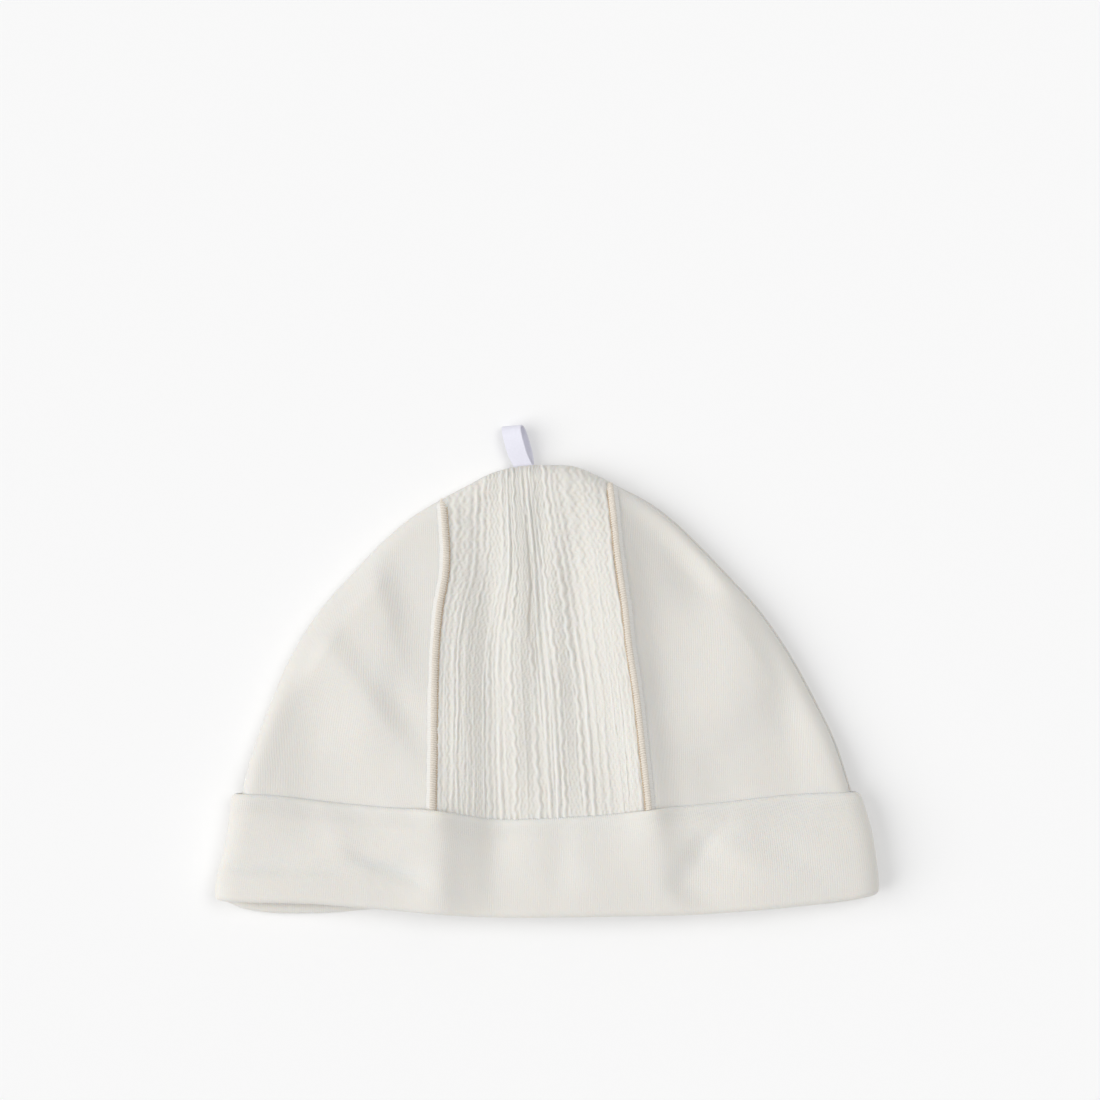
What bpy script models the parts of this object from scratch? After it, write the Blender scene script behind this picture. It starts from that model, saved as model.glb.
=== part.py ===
"""A baby's cotton nightcap, lying flat on its back.

The crown is four knitted panels: a crinkled front panel between two raised seams, a plain panel on
each side of it and one plain panel behind. A band of the plain knit is turned up round the mouth as
a cuff, and a loop of satin ribbon is caught in the seam at the top. Units are metres. +X is the
cap's width, +Y runs from the mouth to the top of the crown, and +Z points up from the surface that
the cap lies on. The origin is on that surface, halfway up the cap.
"""

from collections import namedtuple

import bmesh
import bpy
import numpy as np

# Cloth thicknesses, the clearance between pieces that touch, the extra room where faceted pieces bend
# past each other, and the looser fit inside the cuff
CROWN_WALL = 0.0011
CUFF_WALL = 0.0011
RIBBON_WALL = 0.0006
CLEARANCE = 0.0003
FACET_EASE = 0.0002
CUFF_FIT = 0.0007

# The cuff, measured flat: its width along the mouth and along its upper edge
CUFF_LOWER_WIDTH = 0.1753
CUFF_UPPER_WIDTH = 0.1658
CUFF_HEIGHT = 0.0280
CUFF_LINING_HEIGHT = 0.0220
CUFF_SIDE_EASE = 0.0011
FLARE_BEYOND_SEAM = 0.0075

# The crown above the cuff, and how far its panels reach down inside the cuff
CROWN_RISE = 0.0863
CROWN_TUCK = 0.0120
CROWN_LOFT = 0.0055
LOFT_REACH = 0.0330
EDGE_ROUND = 0.0032
EDGE_REACH = 0.0040
CUFF_LIFT_REACH = 0.0200

# The crinkled front panel and the raised seams on its two sides
FRONT_PANEL_WIDTH = 0.0570
RIB_HEIGHT = 0.0004
RIB_COUNT = 21
SEAM_WIDTH = 0.0026
SEAM_THICKNESS = 0.0021
SEAM_TUCK = 0.0035
SEAM_END_INSET = 0.0009

# The ribbon loop at the top
RIBBON_WIDTH = 0.0052
LOOP_LENGTH = 0.0104
LOOP_THICKNESS = 0.0036
LOOP_CENTRE_ACROSS = -0.0059

# How the loop lies: its lean to the left as a share of its length, how far its two strips part sideways
# as a share of the ribbon's width, and its twist in degrees
LOOP_LEAN = 0.28
LOOP_SPREAD = 0.30
LOOP_TWIST = 20.0

# The loop's curve: powers for how fast it leaves its seam, how its swell grows and how blunt its far end
# is, and how much of its twist tips the ribbon along Y
LOOP_LEAVING = 0.8
LOOP_SWELLING = 1.3
LOOP_BLUNTNESS = 6
LOOP_TIP = 0.25

# What follows from these sizes: the cuff's two walls measured from the crown's outer face, the gap
# between the front and back panels, the slit for a seam, and the flare that lets the seams under the cuff
CUFF_LIFT = CUFF_WALL + CUFF_FIT
CUFF_INSET = CUFF_LIFT + CUFF_SIDE_EASE
LINING_INSET = CROWN_WALL + CUFF_FIT + CUFF_WALL
CROWN_HALF_WIDTH = CUFF_UPPER_WIDTH / 2 - CUFF_INSET
RIM_HALF_GAP = CLEARANCE / 2 + FACET_EASE
SEAM_HALF_SLIT = SEAM_WIDTH / 2 + CLEARANCE + FACET_EASE
SEAM_RISE = SEAM_THICKNESS - CROWN_WALL
CUFF_FLARE_REACH = SEAM_TUCK + FLARE_BEYOND_SEAM
FLARE_AT_SEAM = SEAM_RISE + CLEARANCE + 2 * FACET_EASE - CUFF_FIT
CUFF_FLARE = FLARE_AT_SEAM * (CUFF_FLARE_REACH / FLARE_BEYOND_SEAM) ** 2

# The crown's outline above the cuff: across as a share of the crown's half width, up of CROWN_RISE
OutlineRow = namedtuple("OutlineRow", "across up")
OUTLINE = [
    OutlineRow(across=-0.956, up=0.153),
    OutlineRow(across=-0.900, up=0.291),
    OutlineRow(across=-0.834, up=0.428),
    OutlineRow(across=-0.737, up=0.566),
    OutlineRow(across=-0.650, up=0.657),
    OutlineRow(across=-0.557, up=0.749),
    OutlineRow(across=-0.442, up=0.841),
    OutlineRow(across=-0.362, up=0.887),
    OutlineRow(across=-0.267, up=0.934),
    OutlineRow(across=-0.178, up=0.976),
    OutlineRow(across=-0.089, up=0.997),
    OutlineRow(across=0.000, up=1.000),
    OutlineRow(across=0.092, up=0.995),
    OutlineRow(across=0.155, up=0.972),
    OutlineRow(across=0.244, up=0.927),
    OutlineRow(across=0.323, up=0.887),
    OutlineRow(across=0.392, up=0.841),
    OutlineRow(across=0.498, up=0.749),
    OutlineRow(across=0.593, up=0.657),
    OutlineRow(across=0.682, up=0.566),
    OutlineRow(across=0.787, up=0.428),
    OutlineRow(across=0.869, up=0.291),
    OutlineRow(across=0.941, up=0.153),
]

# The two seams, bottom to top: up as a share of CROWN_RISE, left and right of FRONT_PANEL_WIDTH
SeamRow = namedtuple("SeamRow", "up left right")
SEAMS = [
    SeamRow(up=-0.20, left=-0.533, right=0.482),
    SeamRow(up=-0.05, left=-0.531, right=0.473),
    SeamRow(up=0.12, left=-0.527, right=0.446),
    SeamRow(up=0.31, left=-0.524, right=0.414),
    SeamRow(up=0.45, left=-0.517, right=0.382),
    SeamRow(up=0.58, left=-0.497, right=0.361),
    SeamRow(up=0.66, left=-0.475, right=0.343),
    SeamRow(up=0.73, left=-0.469, right=0.329),
    SeamRow(up=0.81, left=-0.476, right=0.317),
    SeamRow(up=0.89, left=-0.484, right=0.304),
    SeamRow(up=1.00, left=-0.490, right=0.286),
]

# The cuff's edges: across as a share of its half width, and heights as shares of CUFF_HEIGHT
CuffRow = namedtuple("CuffRow", "across front_lip back_lip front_top back_top")
CUFF = [
    CuffRow(across=-1.00, front_lip=0.135, back_lip=0.135, front_top=1.150, back_top=1.150),
    CuffRow(across=-0.90, front_lip=0.127, back_lip=0.047, front_top=1.146, back_top=1.150),
    CuffRow(across=-0.70, front_lip=0.110, back_lip=0.019, front_top=1.080, back_top=1.130),
    CuffRow(across=-0.50, front_lip=0.066, back_lip=0.057, front_top=1.030, back_top=1.110),
    CuffRow(across=-0.35, front_lip=0.026, back_lip=0.060, front_top=1.000, back_top=1.100),
    CuffRow(across=-0.18, front_lip=-0.008, back_lip=0.055, front_top=0.918, back_top=1.090),
    CuffRow(across=0.00, front_lip=-0.010, back_lip=0.050, front_top=0.929, back_top=1.090),
    CuffRow(across=0.20, front_lip=0.000, back_lip=0.050, front_top=0.965, back_top=1.100),
    CuffRow(across=0.40, front_lip=0.010, back_lip=0.055, front_top=1.035, back_top=1.110),
    CuffRow(across=0.55, front_lip=0.038, back_lip=0.070, front_top=1.075, back_top=1.120),
    CuffRow(across=0.70, front_lip=0.075, back_lip=0.094, front_top=1.125, back_top=1.140),
    CuffRow(across=0.85, front_lip=0.125, back_lip=0.105, front_top=1.160, back_top=1.160),
    CuffRow(across=1.00, front_lip=0.185, back_lip=0.185, front_top=1.165, back_top=1.165),
]

# The cuff's side folds: up as a share of CUFF_HEIGHT, left and right from 0 at the upper width to 1 at
# the lower
CuffSideRow = namedtuple("CuffSideRow", "up left right")
CUFF_SIDES = [
    CuffSideRow(up=0.00, left=1.00, right=0.96),
    CuffSideRow(up=0.20, left=1.00, right=1.00),
    CuffSideRow(up=0.38, left=0.88, right=0.96),
    CuffSideRow(up=0.52, left=0.64, right=0.86),
    CuffSideRow(up=0.66, left=0.48, right=0.74),
    CuffSideRow(up=0.80, left=0.30, right=0.60),
    CuffSideRow(up=0.94, left=0.18, right=0.36),
    CuffSideRow(up=1.08, left=0.08, right=0.10),
    CuffSideRow(up=1.17, left=0.00, right=-0.10),
]

# Soft folds of the front: across as a share of the crown's half width, up of CROWN_RISE. A fold is a
# ridge, or a dent where its height is negative. Its length, width and height are shares of LOFT_REACH
# and CROWN_LOFT, and lean is in degrees anticlockwise from upright. All folds fade out towards the
# outline, over a share of LOFT_REACH.
FoldRow = namedtuple("FoldRow", "across up length width lean height")
FOLDS = [
    FoldRow(across=0.30, up=0.34, length=1.70, width=0.17, lean=7.0, height=0.30),
    FoldRow(across=0.43, up=0.45, length=1.40, width=0.20, lean=6.0, height=-0.20),
    FoldRow(across=0.36, up=0.84, length=0.40, width=0.15, lean=24.0, height=-0.16),
    FoldRow(across=0.66, up=0.35, length=1.10, width=0.28, lean=2.0, height=0.10),
    FoldRow(across=-0.37, up=-0.06, length=1.30, width=0.20, lean=0.0, height=0.20),
    FoldRow(across=-0.21, up=0.20, length=1.80, width=0.18, lean=3.0, height=-0.22),
    FoldRow(across=-0.01, up=0.52, length=0.90, width=0.12, lean=2.0, height=-0.12),
    FoldRow(across=-0.58, up=0.58, length=0.50, width=0.13, lean=26.0, height=0.14),
    FoldRow(across=-0.46, up=0.55, length=0.45, width=0.13, lean=18.0, height=-0.16),
    FoldRow(across=-0.63, up=0.32, length=0.60, width=0.12, lean=52.0, height=-0.15),
    FoldRow(across=-0.72, up=0.18, length=0.60, width=0.15, lean=48.0, height=0.13),
    FoldRow(across=0.46, up=-0.26, length=0.30, width=0.14, lean=-20.0, height=-0.18),
    FoldRow(across=0.10, up=-0.20, length=0.60, width=0.20, lean=0.0, height=0.08),
]
FOLD_EDGE_FADE = 0.35

# How finely each piece is divided
OUTLINE_SAMPLES = 240
MERGE_DISTANCE = 0.0003
ROUND_STEPS = 4
FOOT_ANGLE = 15.0
SIDE_PANEL_COLUMNS = 16
SIDE_PANEL_ROWS = 14
FRONT_PANEL_ROWS = 15
BACK_PANEL_COLUMNS = 36
BACK_PANEL_ROWS = 13
CUFF_FRONT_COLUMNS = 26
CUFF_BACK_COLUMNS = 10
CUFF_OUTER_ROWS = 5
CUFF_FOLD_ROWS = 5
CUFF_LINING_ROWS = 3
SEAM_SIDES = 8
SEAM_POINTS = 22
RIBBON_COLUMNS = 3
RIBBON_ROWS = 22


def through(knots, values):
    """Smooth curve through a table's column, as a function of the knot column."""
    knots = np.asarray(knots, float)
    values = np.asarray(values, float)
    slopes = np.gradient(values, knots)

    def at(x):
        x = np.clip(np.asarray(x, float), knots[0], knots[-1])
        k = np.clip(np.searchsorted(knots, x) - 1, 0, len(knots) - 2)
        span = knots[k + 1] - knots[k]
        t = (x - knots[k]) / span
        start = (1 + 2 * t) * (1 - t) ** 2 * values[k] + t * (1 - t) ** 2 * span * slopes[k]
        end = t**2 * (3 - 2 * t) * values[k + 1] + t**2 * (t - 1) * span * slopes[k + 1]
        return start + end

    return at


def column(table, name):
    return [getattr(row, name) for row in table]


def quarter(t):
    """Height of a quarter circle, from 0 at its upright foot to 1 where it is level."""
    return np.sqrt(1 - (1 - np.clip(t, 0, 1)) ** 2)


def ease(t):
    """Smooth step from 0 to 1."""
    t = np.clip(t, 0, 1)
    return t * t * (3 - 2 * t)


# Places along Y: the mouth's reference line and the cuff's highest corner, where the outline begins
CUFF_CORNER_RISE = max(row.front_top for row in CUFF) * CUFF_HEIGHT
LIP_Y = -(CUFF_CORNER_RISE + CROWN_RISE) / 2
CORNER_Y = LIP_Y + CUFF_CORNER_RISE

front_lip_share = through(column(CUFF, "across"), column(CUFF, "front_lip"))
back_lip_share = through(column(CUFF, "across"), column(CUFF, "back_lip"))
front_top_share = through(column(CUFF, "across"), column(CUFF, "front_top"))
back_top_share = through(column(CUFF, "across"), column(CUFF, "back_top"))
left_side_share = through(column(CUFF_SIDES, "up"), column(CUFF_SIDES, "left"))
right_side_share = through(column(CUFF_SIDES, "up"), column(CUFF_SIDES, "right"))
left_seam_share = through(column(SEAMS, "up"), column(SEAMS, "left"))
right_seam_share = through(column(SEAMS, "up"), column(SEAMS, "right"))


def cuff_half_width(y, side_share):
    """Half width of the cuff's outer face at height y, on the side whose share is given."""
    share = side_share((np.asarray(y) - LIP_Y) / CUFF_HEIGHT)
    return (CUFF_UPPER_WIDTH + share * (CUFF_LOWER_WIDTH - CUFF_UPPER_WIDTH)) / 2


def cuff_left(y):
    return -cuff_half_width(y, left_side_share)


def cuff_right(y):
    return cuff_half_width(y, right_side_share)


def across_of(x):
    """Share of the cuff's half width at x, along its upper edge."""
    return np.clip(2 * np.asarray(x) / CUFF_UPPER_WIDTH, -1, 1)


def top_edge(across, front=True):
    share = front_top_share(across) if front else back_top_share(across)
    return LIP_Y + share * CUFF_HEIGHT


def lip_edge(across, front=True):
    share = front_lip_share(across) if front else back_lip_share(across)
    return LIP_Y + share * CUFF_HEIGHT


def left_seam(y):
    return FRONT_PANEL_WIDTH * left_seam_share((np.asarray(y) - CORNER_Y) / CROWN_RISE)


def right_seam(y):
    return FRONT_PANEL_WIDTH * right_seam_share((np.asarray(y) - CORNER_Y) / CROWN_RISE)


def crown_rim():
    """Points of the crown's outline, from the mouth up the left side, over the top and down the right."""
    slot_levels = np.linspace(LIP_Y, CORNER_Y, 6)
    left = [(float(cuff_left(y)) + CUFF_INSET, y) for y in slot_levels]
    dome = [(row.across * CROWN_HALF_WIDTH, CORNER_Y + row.up * CROWN_RISE) for row in OUTLINE]
    right = [(float(cuff_right(y)) - CUFF_INSET, y) for y in slot_levels[::-1]]
    points = np.array(left + dome + right)
    steps = np.hypot(*np.diff(points, axis=0).T)
    travel = np.concatenate([[0.0], np.cumsum(steps)])
    samples = np.linspace(0, travel[-1], OUTLINE_SAMPLES)
    return np.stack([through(travel, points[:, 0])(samples), through(travel, points[:, 1])(samples)], 1)


RIM = crown_rim()
RIM_SHARE = np.linspace(0, 1, len(RIM))
APEX = int(np.argmax(RIM[:, 1]))


def rim_at(share):
    return np.interp(share, RIM_SHARE, RIM[:, 0]), np.interp(share, RIM_SHARE, RIM[:, 1])


def rim_share_at_height(y, left=True):
    """Where along the rim the outline passes height y, on its left or right side."""
    if left:
        return float(np.interp(y, RIM[: APEX + 1, 1], RIM_SHARE[: APEX + 1]))
    return float(np.interp(-y, -RIM[APEX:, 1], RIM_SHARE[APEX:]))


def rim_share_at_seam(seam, offset=0.0):
    """Where along the rim it crosses a line beside a seam, near the top of the crown."""
    upper = RIM[:, 1] > CORNER_Y + CROWN_RISE / 2
    beyond = RIM[upper, 0] - seam(RIM[upper, 1]) - offset
    return float(np.interp(0, beyond, RIM_SHARE[upper]))


def edge_distance(x, y):
    """Distance from each point to the crown's outline."""
    points = np.stack([np.ravel(x), np.ravel(y)], 1)
    start, step = RIM[:-1], np.diff(RIM, axis=0)
    along = ((points[:, None] - start) * step).sum(2) / (step**2).sum(1)
    nearest = start + np.clip(along, 0, 1)[..., None] * step
    distance = np.sqrt(((points[:, None] - nearest) ** 2).sum(2)).min(1)
    return distance.reshape(np.shape(x))


def cuff_lift(y):
    """How far the cuff under it holds the crown off the surface at height y."""
    return CUFF_LIFT * (1 - ease((np.asarray(y) - CORNER_Y) / CUFF_LIFT_REACH))


def rim_height(y):
    return cuff_lift(y) + EDGE_ROUND


def folds(x, y, distance):
    """Sum of the soft folds, fading out towards the outline."""
    total = np.zeros(np.shape(x))
    for row in FOLDS:
        lean = np.radians(row.lean)
        dx = x - row.across * CROWN_HALF_WIDTH
        dy = y - (CORNER_Y + row.up * CROWN_RISE)
        along = (dy * np.cos(lean) - dx * np.sin(lean)) / (row.length * LOFT_REACH / 2)
        beside = (dx * np.cos(lean) + dy * np.sin(lean)) / (row.width * LOFT_REACH)
        total = total + row.height * CROWN_LOFT * np.exp(-(beside**2) - along**4)
    return total * ease(distance / (FOLD_EDGE_FADE * LOFT_REACH))


def loft(x, y):
    """How much the front rises above the rounded edge."""
    distance = edge_distance(x, y)
    t = np.clip(distance / LOFT_REACH, 0, 1)
    return CROWN_LOFT * (2 * t - t * t) + folds(x, y, distance)


def crown_front(x, y):
    """Height of the crown's outer face in front."""
    return rim_height(y) + EDGE_ROUND * quarter(edge_distance(x, y) / EDGE_REACH) + loft(x, y)


def crown_back(x, y):
    """Height of the crown's outer face behind, which lies on the surface above the cuff."""
    return rim_height(y) - EDGE_ROUND * quarter(edge_distance(x, y) / EDGE_REACH)


def ribs(share, x, y):
    """Height of the front panel's ribs, by share of the way across it, fading out inside the cuff."""
    tucked = (top_edge(across_of(x)) - y) / SEAM_TUCK
    return -RIB_HEIGHT * np.cos(2 * np.pi * RIB_COUNT * share) * (1 - ease(tucked + 0.5))


def sheet_object(name, points, wall, material):
    """An open sheet through a grid of points, by row and column, given its wall inwards by Solidify."""
    rows, columns = points.shape[0] - 1, points.shape[1] - 1
    mesh = bpy.data.meshes.new(name)
    bm = bmesh.new()
    bmesh.ops.create_grid(bm, x_segments=columns, y_segments=rows, size=0.5)
    for vertex in bm.verts:
        i = round((vertex.co.x + 0.5) * columns)
        j = round((vertex.co.y + 0.5) * rows)
        vertex.co = points[j, i]
    bmesh.ops.remove_doubles(bm, verts=bm.verts, dist=MERGE_DISTANCE)
    bm.to_mesh(mesh)
    bm.free()
    mesh.shade_smooth()
    obj = add_object(name, mesh, material)
    solid = obj.modifiers.new("wall", "SOLIDIFY")
    solid.thickness = wall
    solid.offset = -1


def shares_along(count, reach, at_start=False, at_end=False):
    """Shares of a line for count + 1 points, which close up over reach where an end meets the outline.

    The last two of them coincide, because the rounded edge ends in a short upright foot.
    """
    angles = np.radians([FOOT_ANGLE, *np.linspace(FOOT_ANGLE, 90, ROUND_STEPS)])
    closing = [reach * (1 - np.cos(angle)) for angle in angles[:-1]]
    low = reach if at_start else 0 * reach
    high = 1 - reach if at_end else 1 + 0 * reach
    inner = count - ROUND_STEPS * (at_start + at_end)
    shares = closing if at_start else []
    shares = shares + [low + k / inner * (high - low) for k in range(inner + 1)]
    shares = shares + ([1 - share for share in closing[::-1]] if at_end else [])
    return np.stack(shares)


def patch(left, right, bottom, top):
    """A patch between four edges that meet at its corners. Each edge gives (x, y) for shares from 0 to 1."""

    def at(s, t):
        bottom_left, bottom_right = np.array(bottom(0.0)), np.array(bottom(1.0))
        top_left, top_right = np.array(top(0.0)), np.array(top(1.0))
        place = []
        for k in range(2):
            ruled = (1 - t) * bottom(s)[k] + t * top(s)[k] + (1 - s) * left(t)[k] + s * right(t)[k]
            low = (1 - s) * bottom_left[k] + s * bottom_right[k]
            high = (1 - s) * top_left[k] + s * top_right[k]
            place.append(ruled - (1 - t) * low - t * high)
        return place[0], place[1]

    return at


def line_between(start, end):
    return lambda share: (start[0] + share * (end[0] - start[0]), start[1] + share * (end[1] - start[1]))


def rim_between(start, end):
    return lambda share: rim_at(start + share * (end - start))


def tuck_line(x0, x1, front=True):
    """The lower edge of a panel, inside the cuff, between two places across."""

    def at(share):
        x = x0 + share * (x1 - x0)
        return x, top_edge(across_of(x), front) - CROWN_TUCK

    return at


def seam_side(seam, y0, y1, offset):
    """A panel's edge beside a seam, held off the seam's line by offset."""

    def at(share):
        y = y0 + share * (y1 - y0)
        return seam(y) + offset, y

    return at


def panel_grid(shape, columns, rows, left_edge, right_edge):
    """Plan positions of a panel's vertices, and which of them are on the outline's foot."""
    width = np.hypot(*(np.array(shape(1.0, 0.0)) - np.array(shape(0.0, 0.0))))
    shares = shares_along(columns, EDGE_REACH / width, left_edge, right_edge)
    low = np.stack(shape(shares, np.zeros(columns + 1)))
    high = np.stack(shape(shares, np.ones(columns + 1)))
    reach = np.minimum(EDGE_REACH / np.maximum(np.hypot(*(high - low)), 1e-6), 0.5)
    levels = shares_along(rows, reach, at_end=True)
    grid = [shape(shares, level) for level in levels]
    foot = np.zeros((rows + 1, columns + 1), bool)
    foot[-1] = True
    foot[:, 0] |= left_edge
    foot[:, -1] |= right_edge
    return np.stack([g[0] for g in grid]), np.stack([g[1] for g in grid]), foot


def side_panel(name, seam, left, material):
    """A plain front panel, from the outline to a seam."""
    sign = -1 if left else 1
    offset = sign * SEAM_HALF_SLIT
    crossing = rim_share_at_seam(seam, offset)
    corner_y = float(top_edge(sign)) - CROWN_TUCK
    low = rim_share_at_height(corner_y, left)
    corner_x = float(rim_at(low)[0])
    seam_low_y = float(top_edge(across_of(seam(corner_y) + offset))) - CROWN_TUCK
    seam_low_x = float(seam(seam_low_y)) + offset
    corner = line_between((corner_x, corner_y), (corner_x, corner_y))
    inner_side = seam_side(seam, seam_low_y, float(rim_at(crossing)[1]), offset)
    if left:
        shape = patch(corner, inner_side, tuck_line(corner_x, seam_low_x), rim_between(low, crossing))
    else:
        shape = patch(inner_side, corner, tuck_line(seam_low_x, corner_x), rim_between(crossing, low))
    x, y, foot = panel_grid(shape, SIDE_PANEL_COLUMNS, SIDE_PANEL_ROWS, left, not left)
    z = np.where(foot, rim_height(y), crown_front(x, y)) + RIM_HALF_GAP
    sheet_object(name, np.stack([x, y, z], 2), CROWN_WALL, material)


def front_panel(name, material):
    """The crinkled panel between the two seams, ribbed from the cuff to the top."""
    shares = np.linspace(0, 1, 2 * RIB_COUNT + 1)

    def across(y):
        left = left_seam(y) + SEAM_HALF_SLIT
        right = right_seam(y) - SEAM_HALF_SLIT
        return left, right

    crossings = rim_share_at_seam(left_seam, SEAM_HALF_SLIT), rim_share_at_seam(right_seam, -SEAM_HALF_SLIT)
    rim_x, rim_y = rim_at(np.linspace(*crossings, OUTLINE_SAMPLES))
    left, right = across(rim_y)
    top_y = np.interp(shares, (rim_x - left) / (right - left), rim_y)
    left, right = across(CORNER_Y - CROWN_TUCK)
    low_y = top_edge(across_of(left + shares * (right - left))) - CROWN_TUCK
    levels = shares_along(FRONT_PANEL_ROWS, EDGE_REACH / (top_y - low_y), at_end=True)
    y = low_y + levels * (top_y - low_y)
    left, right = across(y)
    x = left + shares * (right - left)
    relief = ribs(shares, x, y) * ease(edge_distance(x, y) / EDGE_REACH)
    z = crown_front(x, y) + relief + RIM_HALF_GAP
    z[-1] = rim_height(y[-1]) + RIM_HALF_GAP
    sheet_object(name, np.stack([x, y, z], 2), CROWN_WALL, material)


def back_panel(name, material):
    """The plain panel behind, lying on the surface, with its edge rounded up to the front panels."""
    corner_heights = [float(top_edge(side, front=False)) - CROWN_TUCK for side in (-1, 1)]
    start = rim_share_at_height(corner_heights[0], left=True)
    end = rim_share_at_height(corner_heights[1], left=False)
    start_x, end_x = float(rim_at(start)[0]), float(rim_at(end)[0])
    shape = patch(
        line_between(rim_at(start), rim_at(start)),
        line_between(rim_at(end), rim_at(end)),
        tuck_line(start_x, end_x, front=False),
        rim_between(start, end),
    )
    x, y, foot = panel_grid(shape, BACK_PANEL_COLUMNS, BACK_PANEL_ROWS, True, True)
    z = np.where(foot, rim_height(y) - RIM_HALF_GAP, crown_back(x, y))
    sheet_object(name, np.stack([x, y, z], 2)[:, ::-1], CROWN_WALL, material)


RingColumn = namedtuple("RingColumn", "front middle round")


def ring_columns():
    """The places round the cuff: across the front from left to right, then back across behind.

    Each is a share of the flat middle between the side folds, and of the fold's radius beyond it.
    """
    turn = [1 - np.cos(np.radians(90 * k / ROUND_STEPS)) for k in range(ROUND_STEPS)]
    front = [RingColumn(True, 0.0, r) for r in turn]
    front += [RingColumn(True, k / CUFF_FRONT_COLUMNS, 1.0) for k in range(CUFF_FRONT_COLUMNS + 1)]
    front += [RingColumn(True, 1.0, r) for r in turn[::-1]]
    back = [RingColumn(False, 1.0, r) for r in turn[1:]]
    back += [RingColumn(False, 1 - k / CUFF_BACK_COLUMNS, 1.0) for k in range(CUFF_BACK_COLUMNS + 1)]
    back += [RingColumn(False, 0.0, r) for r in turn[:0:-1]]
    return front + back + front[:1]


CuffLevel = namedtuple("CuffLevel", "wall share")


def cuff_levels():
    """The rows of the cuff's U: down its outer wall, round the fold at the mouth and up its lining."""
    outer = [CuffLevel("outer", k / CUFF_OUTER_ROWS) for k in range(CUFF_OUTER_ROWS)]
    fold = [CuffLevel("fold", k / CUFF_FOLD_ROWS) for k in range(CUFF_FOLD_ROWS + 1)]
    lining = [CuffLevel("lining", (k + 1) / CUFF_LINING_ROWS) for k in range(CUFF_LINING_ROWS)]
    return outer + fold + lining


def cuff_section(level, lip, top):
    """Place along Y of a level of the U, and its swing from 1 on the outer wall to -1 on the lining."""
    radius = (CUFF_LIFT + LINING_INSET) / 2
    if level.wall == "outer":
        return top + level.share * (lip + radius - top), 1.0
    if level.wall == "lining":
        return lip + radius + level.share * (CUFF_LINING_HEIGHT - radius), -1.0
    turn = np.pi * level.share
    return lip + radius - radius * np.sin(turn), np.cos(turn)


def cuff_point(ring, level):
    """A point of the cuff's skin: ring says how far round it is, level how far along the U."""
    inward = 2 * (EDGE_REACH + CUFF_INSET) * ring.round / CUFF_LOWER_WIDTH
    across = (2 * ring.middle - 1) * (1 - inward)
    top = float(top_edge(across, ring.front))
    y, swing = cuff_section(level, float(lip_edge(across, ring.front)), top)
    # Offset of the skin from the crown's outer face, and a little more of it at the side folds
    outerness = (1 + swing) / 2
    face = outerness * CUFF_LIFT - (1 - outerness) * LINING_INSET
    side = face + outerness * CUFF_SIDE_EASE
    reach = EDGE_REACH + side
    crown_left = float(cuff_left(y)) + CUFF_INSET
    crown_right = float(cuff_right(y)) - CUFF_INSET
    left, right = crown_left - side, crown_right + side
    x = left + ring.middle * (right - left) + reach * ring.round * (1 - 2 * ring.middle)
    arch = float(quarter(min(x - left, right - x) / reach))
    rim = CUFF_LIFT + EDGE_ROUND
    if not ring.front:
        return x, y, rim - (EDGE_ROUND + face) * arch
    flare = 0.0
    if level.wall == "outer":
        flare = CUFF_FLARE * max(0.0, 1 - (top - y) / CUFF_FLARE_REACH) ** 2
    raised = float(loft(np.clip(x, crown_left, crown_right), y)) + outerness * RIM_HALF_GAP * min(1, 2 * arch)
    return x, y, rim + (EDGE_ROUND + face + flare) * arch + raised


def cuff(name, material):
    """The turned-up band: one ring of cloth, its outer wall and lining joined by the fold at the mouth."""
    points = np.array([[cuff_point(ring, level) for ring in ring_columns()] for level in cuff_levels()])
    sheet_object(name, points[::-1], CUFF_WALL, material)


def seam_ridge(name, seam, material):
    """A raised seam: a flattened cord that fills the slit between two panels, proud of both."""
    top = rim_at(rim_share_at_seam(seam))[1]
    low = float(top_edge(across_of(seam(CORNER_Y)))) - SEAM_TUCK
    y = np.linspace(low, float(top), SEAM_POINTS * 4)
    y = y[edge_distance(seam(y), y) > SEAM_END_INSET]
    y = np.linspace(y[0], y[-1], SEAM_POINTS)
    x = seam(y)
    z = crown_front(x, y) + RIM_HALF_GAP + SEAM_RISE - SEAM_THICKNESS / 2
    curve = bpy.data.curves.new(name, "CURVE")
    curve.dimensions = "3D"
    curve.twist_mode = "Z_UP"
    spline = curve.splines.new("POLY")
    spline.points.add(SEAM_POINTS - 1)
    for point, co in zip(spline.points, np.stack([x, y, z], 1)):
        point.co = (*co, 1)
    curve.bevel_mode = "OBJECT"
    curve.bevel_object = seam_section(name + "_section")
    curve.use_fill_caps = True
    add_object(name, curve, material)


def seam_section(name):
    """The seam's oval cross-section, as a guide that is swept and never shown."""
    curve = bpy.data.curves.new(name, "CURVE")
    curve.dimensions = "2D"
    spline = curve.splines.new("POLY")
    spline.points.add(SEAM_SIDES - 1)
    spline.use_cyclic_u = True
    for k, point in enumerate(spline.points):
        angle = -2 * np.pi * (k + 0.5) / SEAM_SIDES
        point.co = (SEAM_WIDTH / 2 * np.cos(angle), SEAM_THICKNESS / 2 * np.sin(angle), 0, 1)
    guide = bpy.data.objects.new(name, curve)
    guide.hide_render = True
    guide.display_type = "WIRE"
    guides.objects.link(guide)
    return guide


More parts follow.
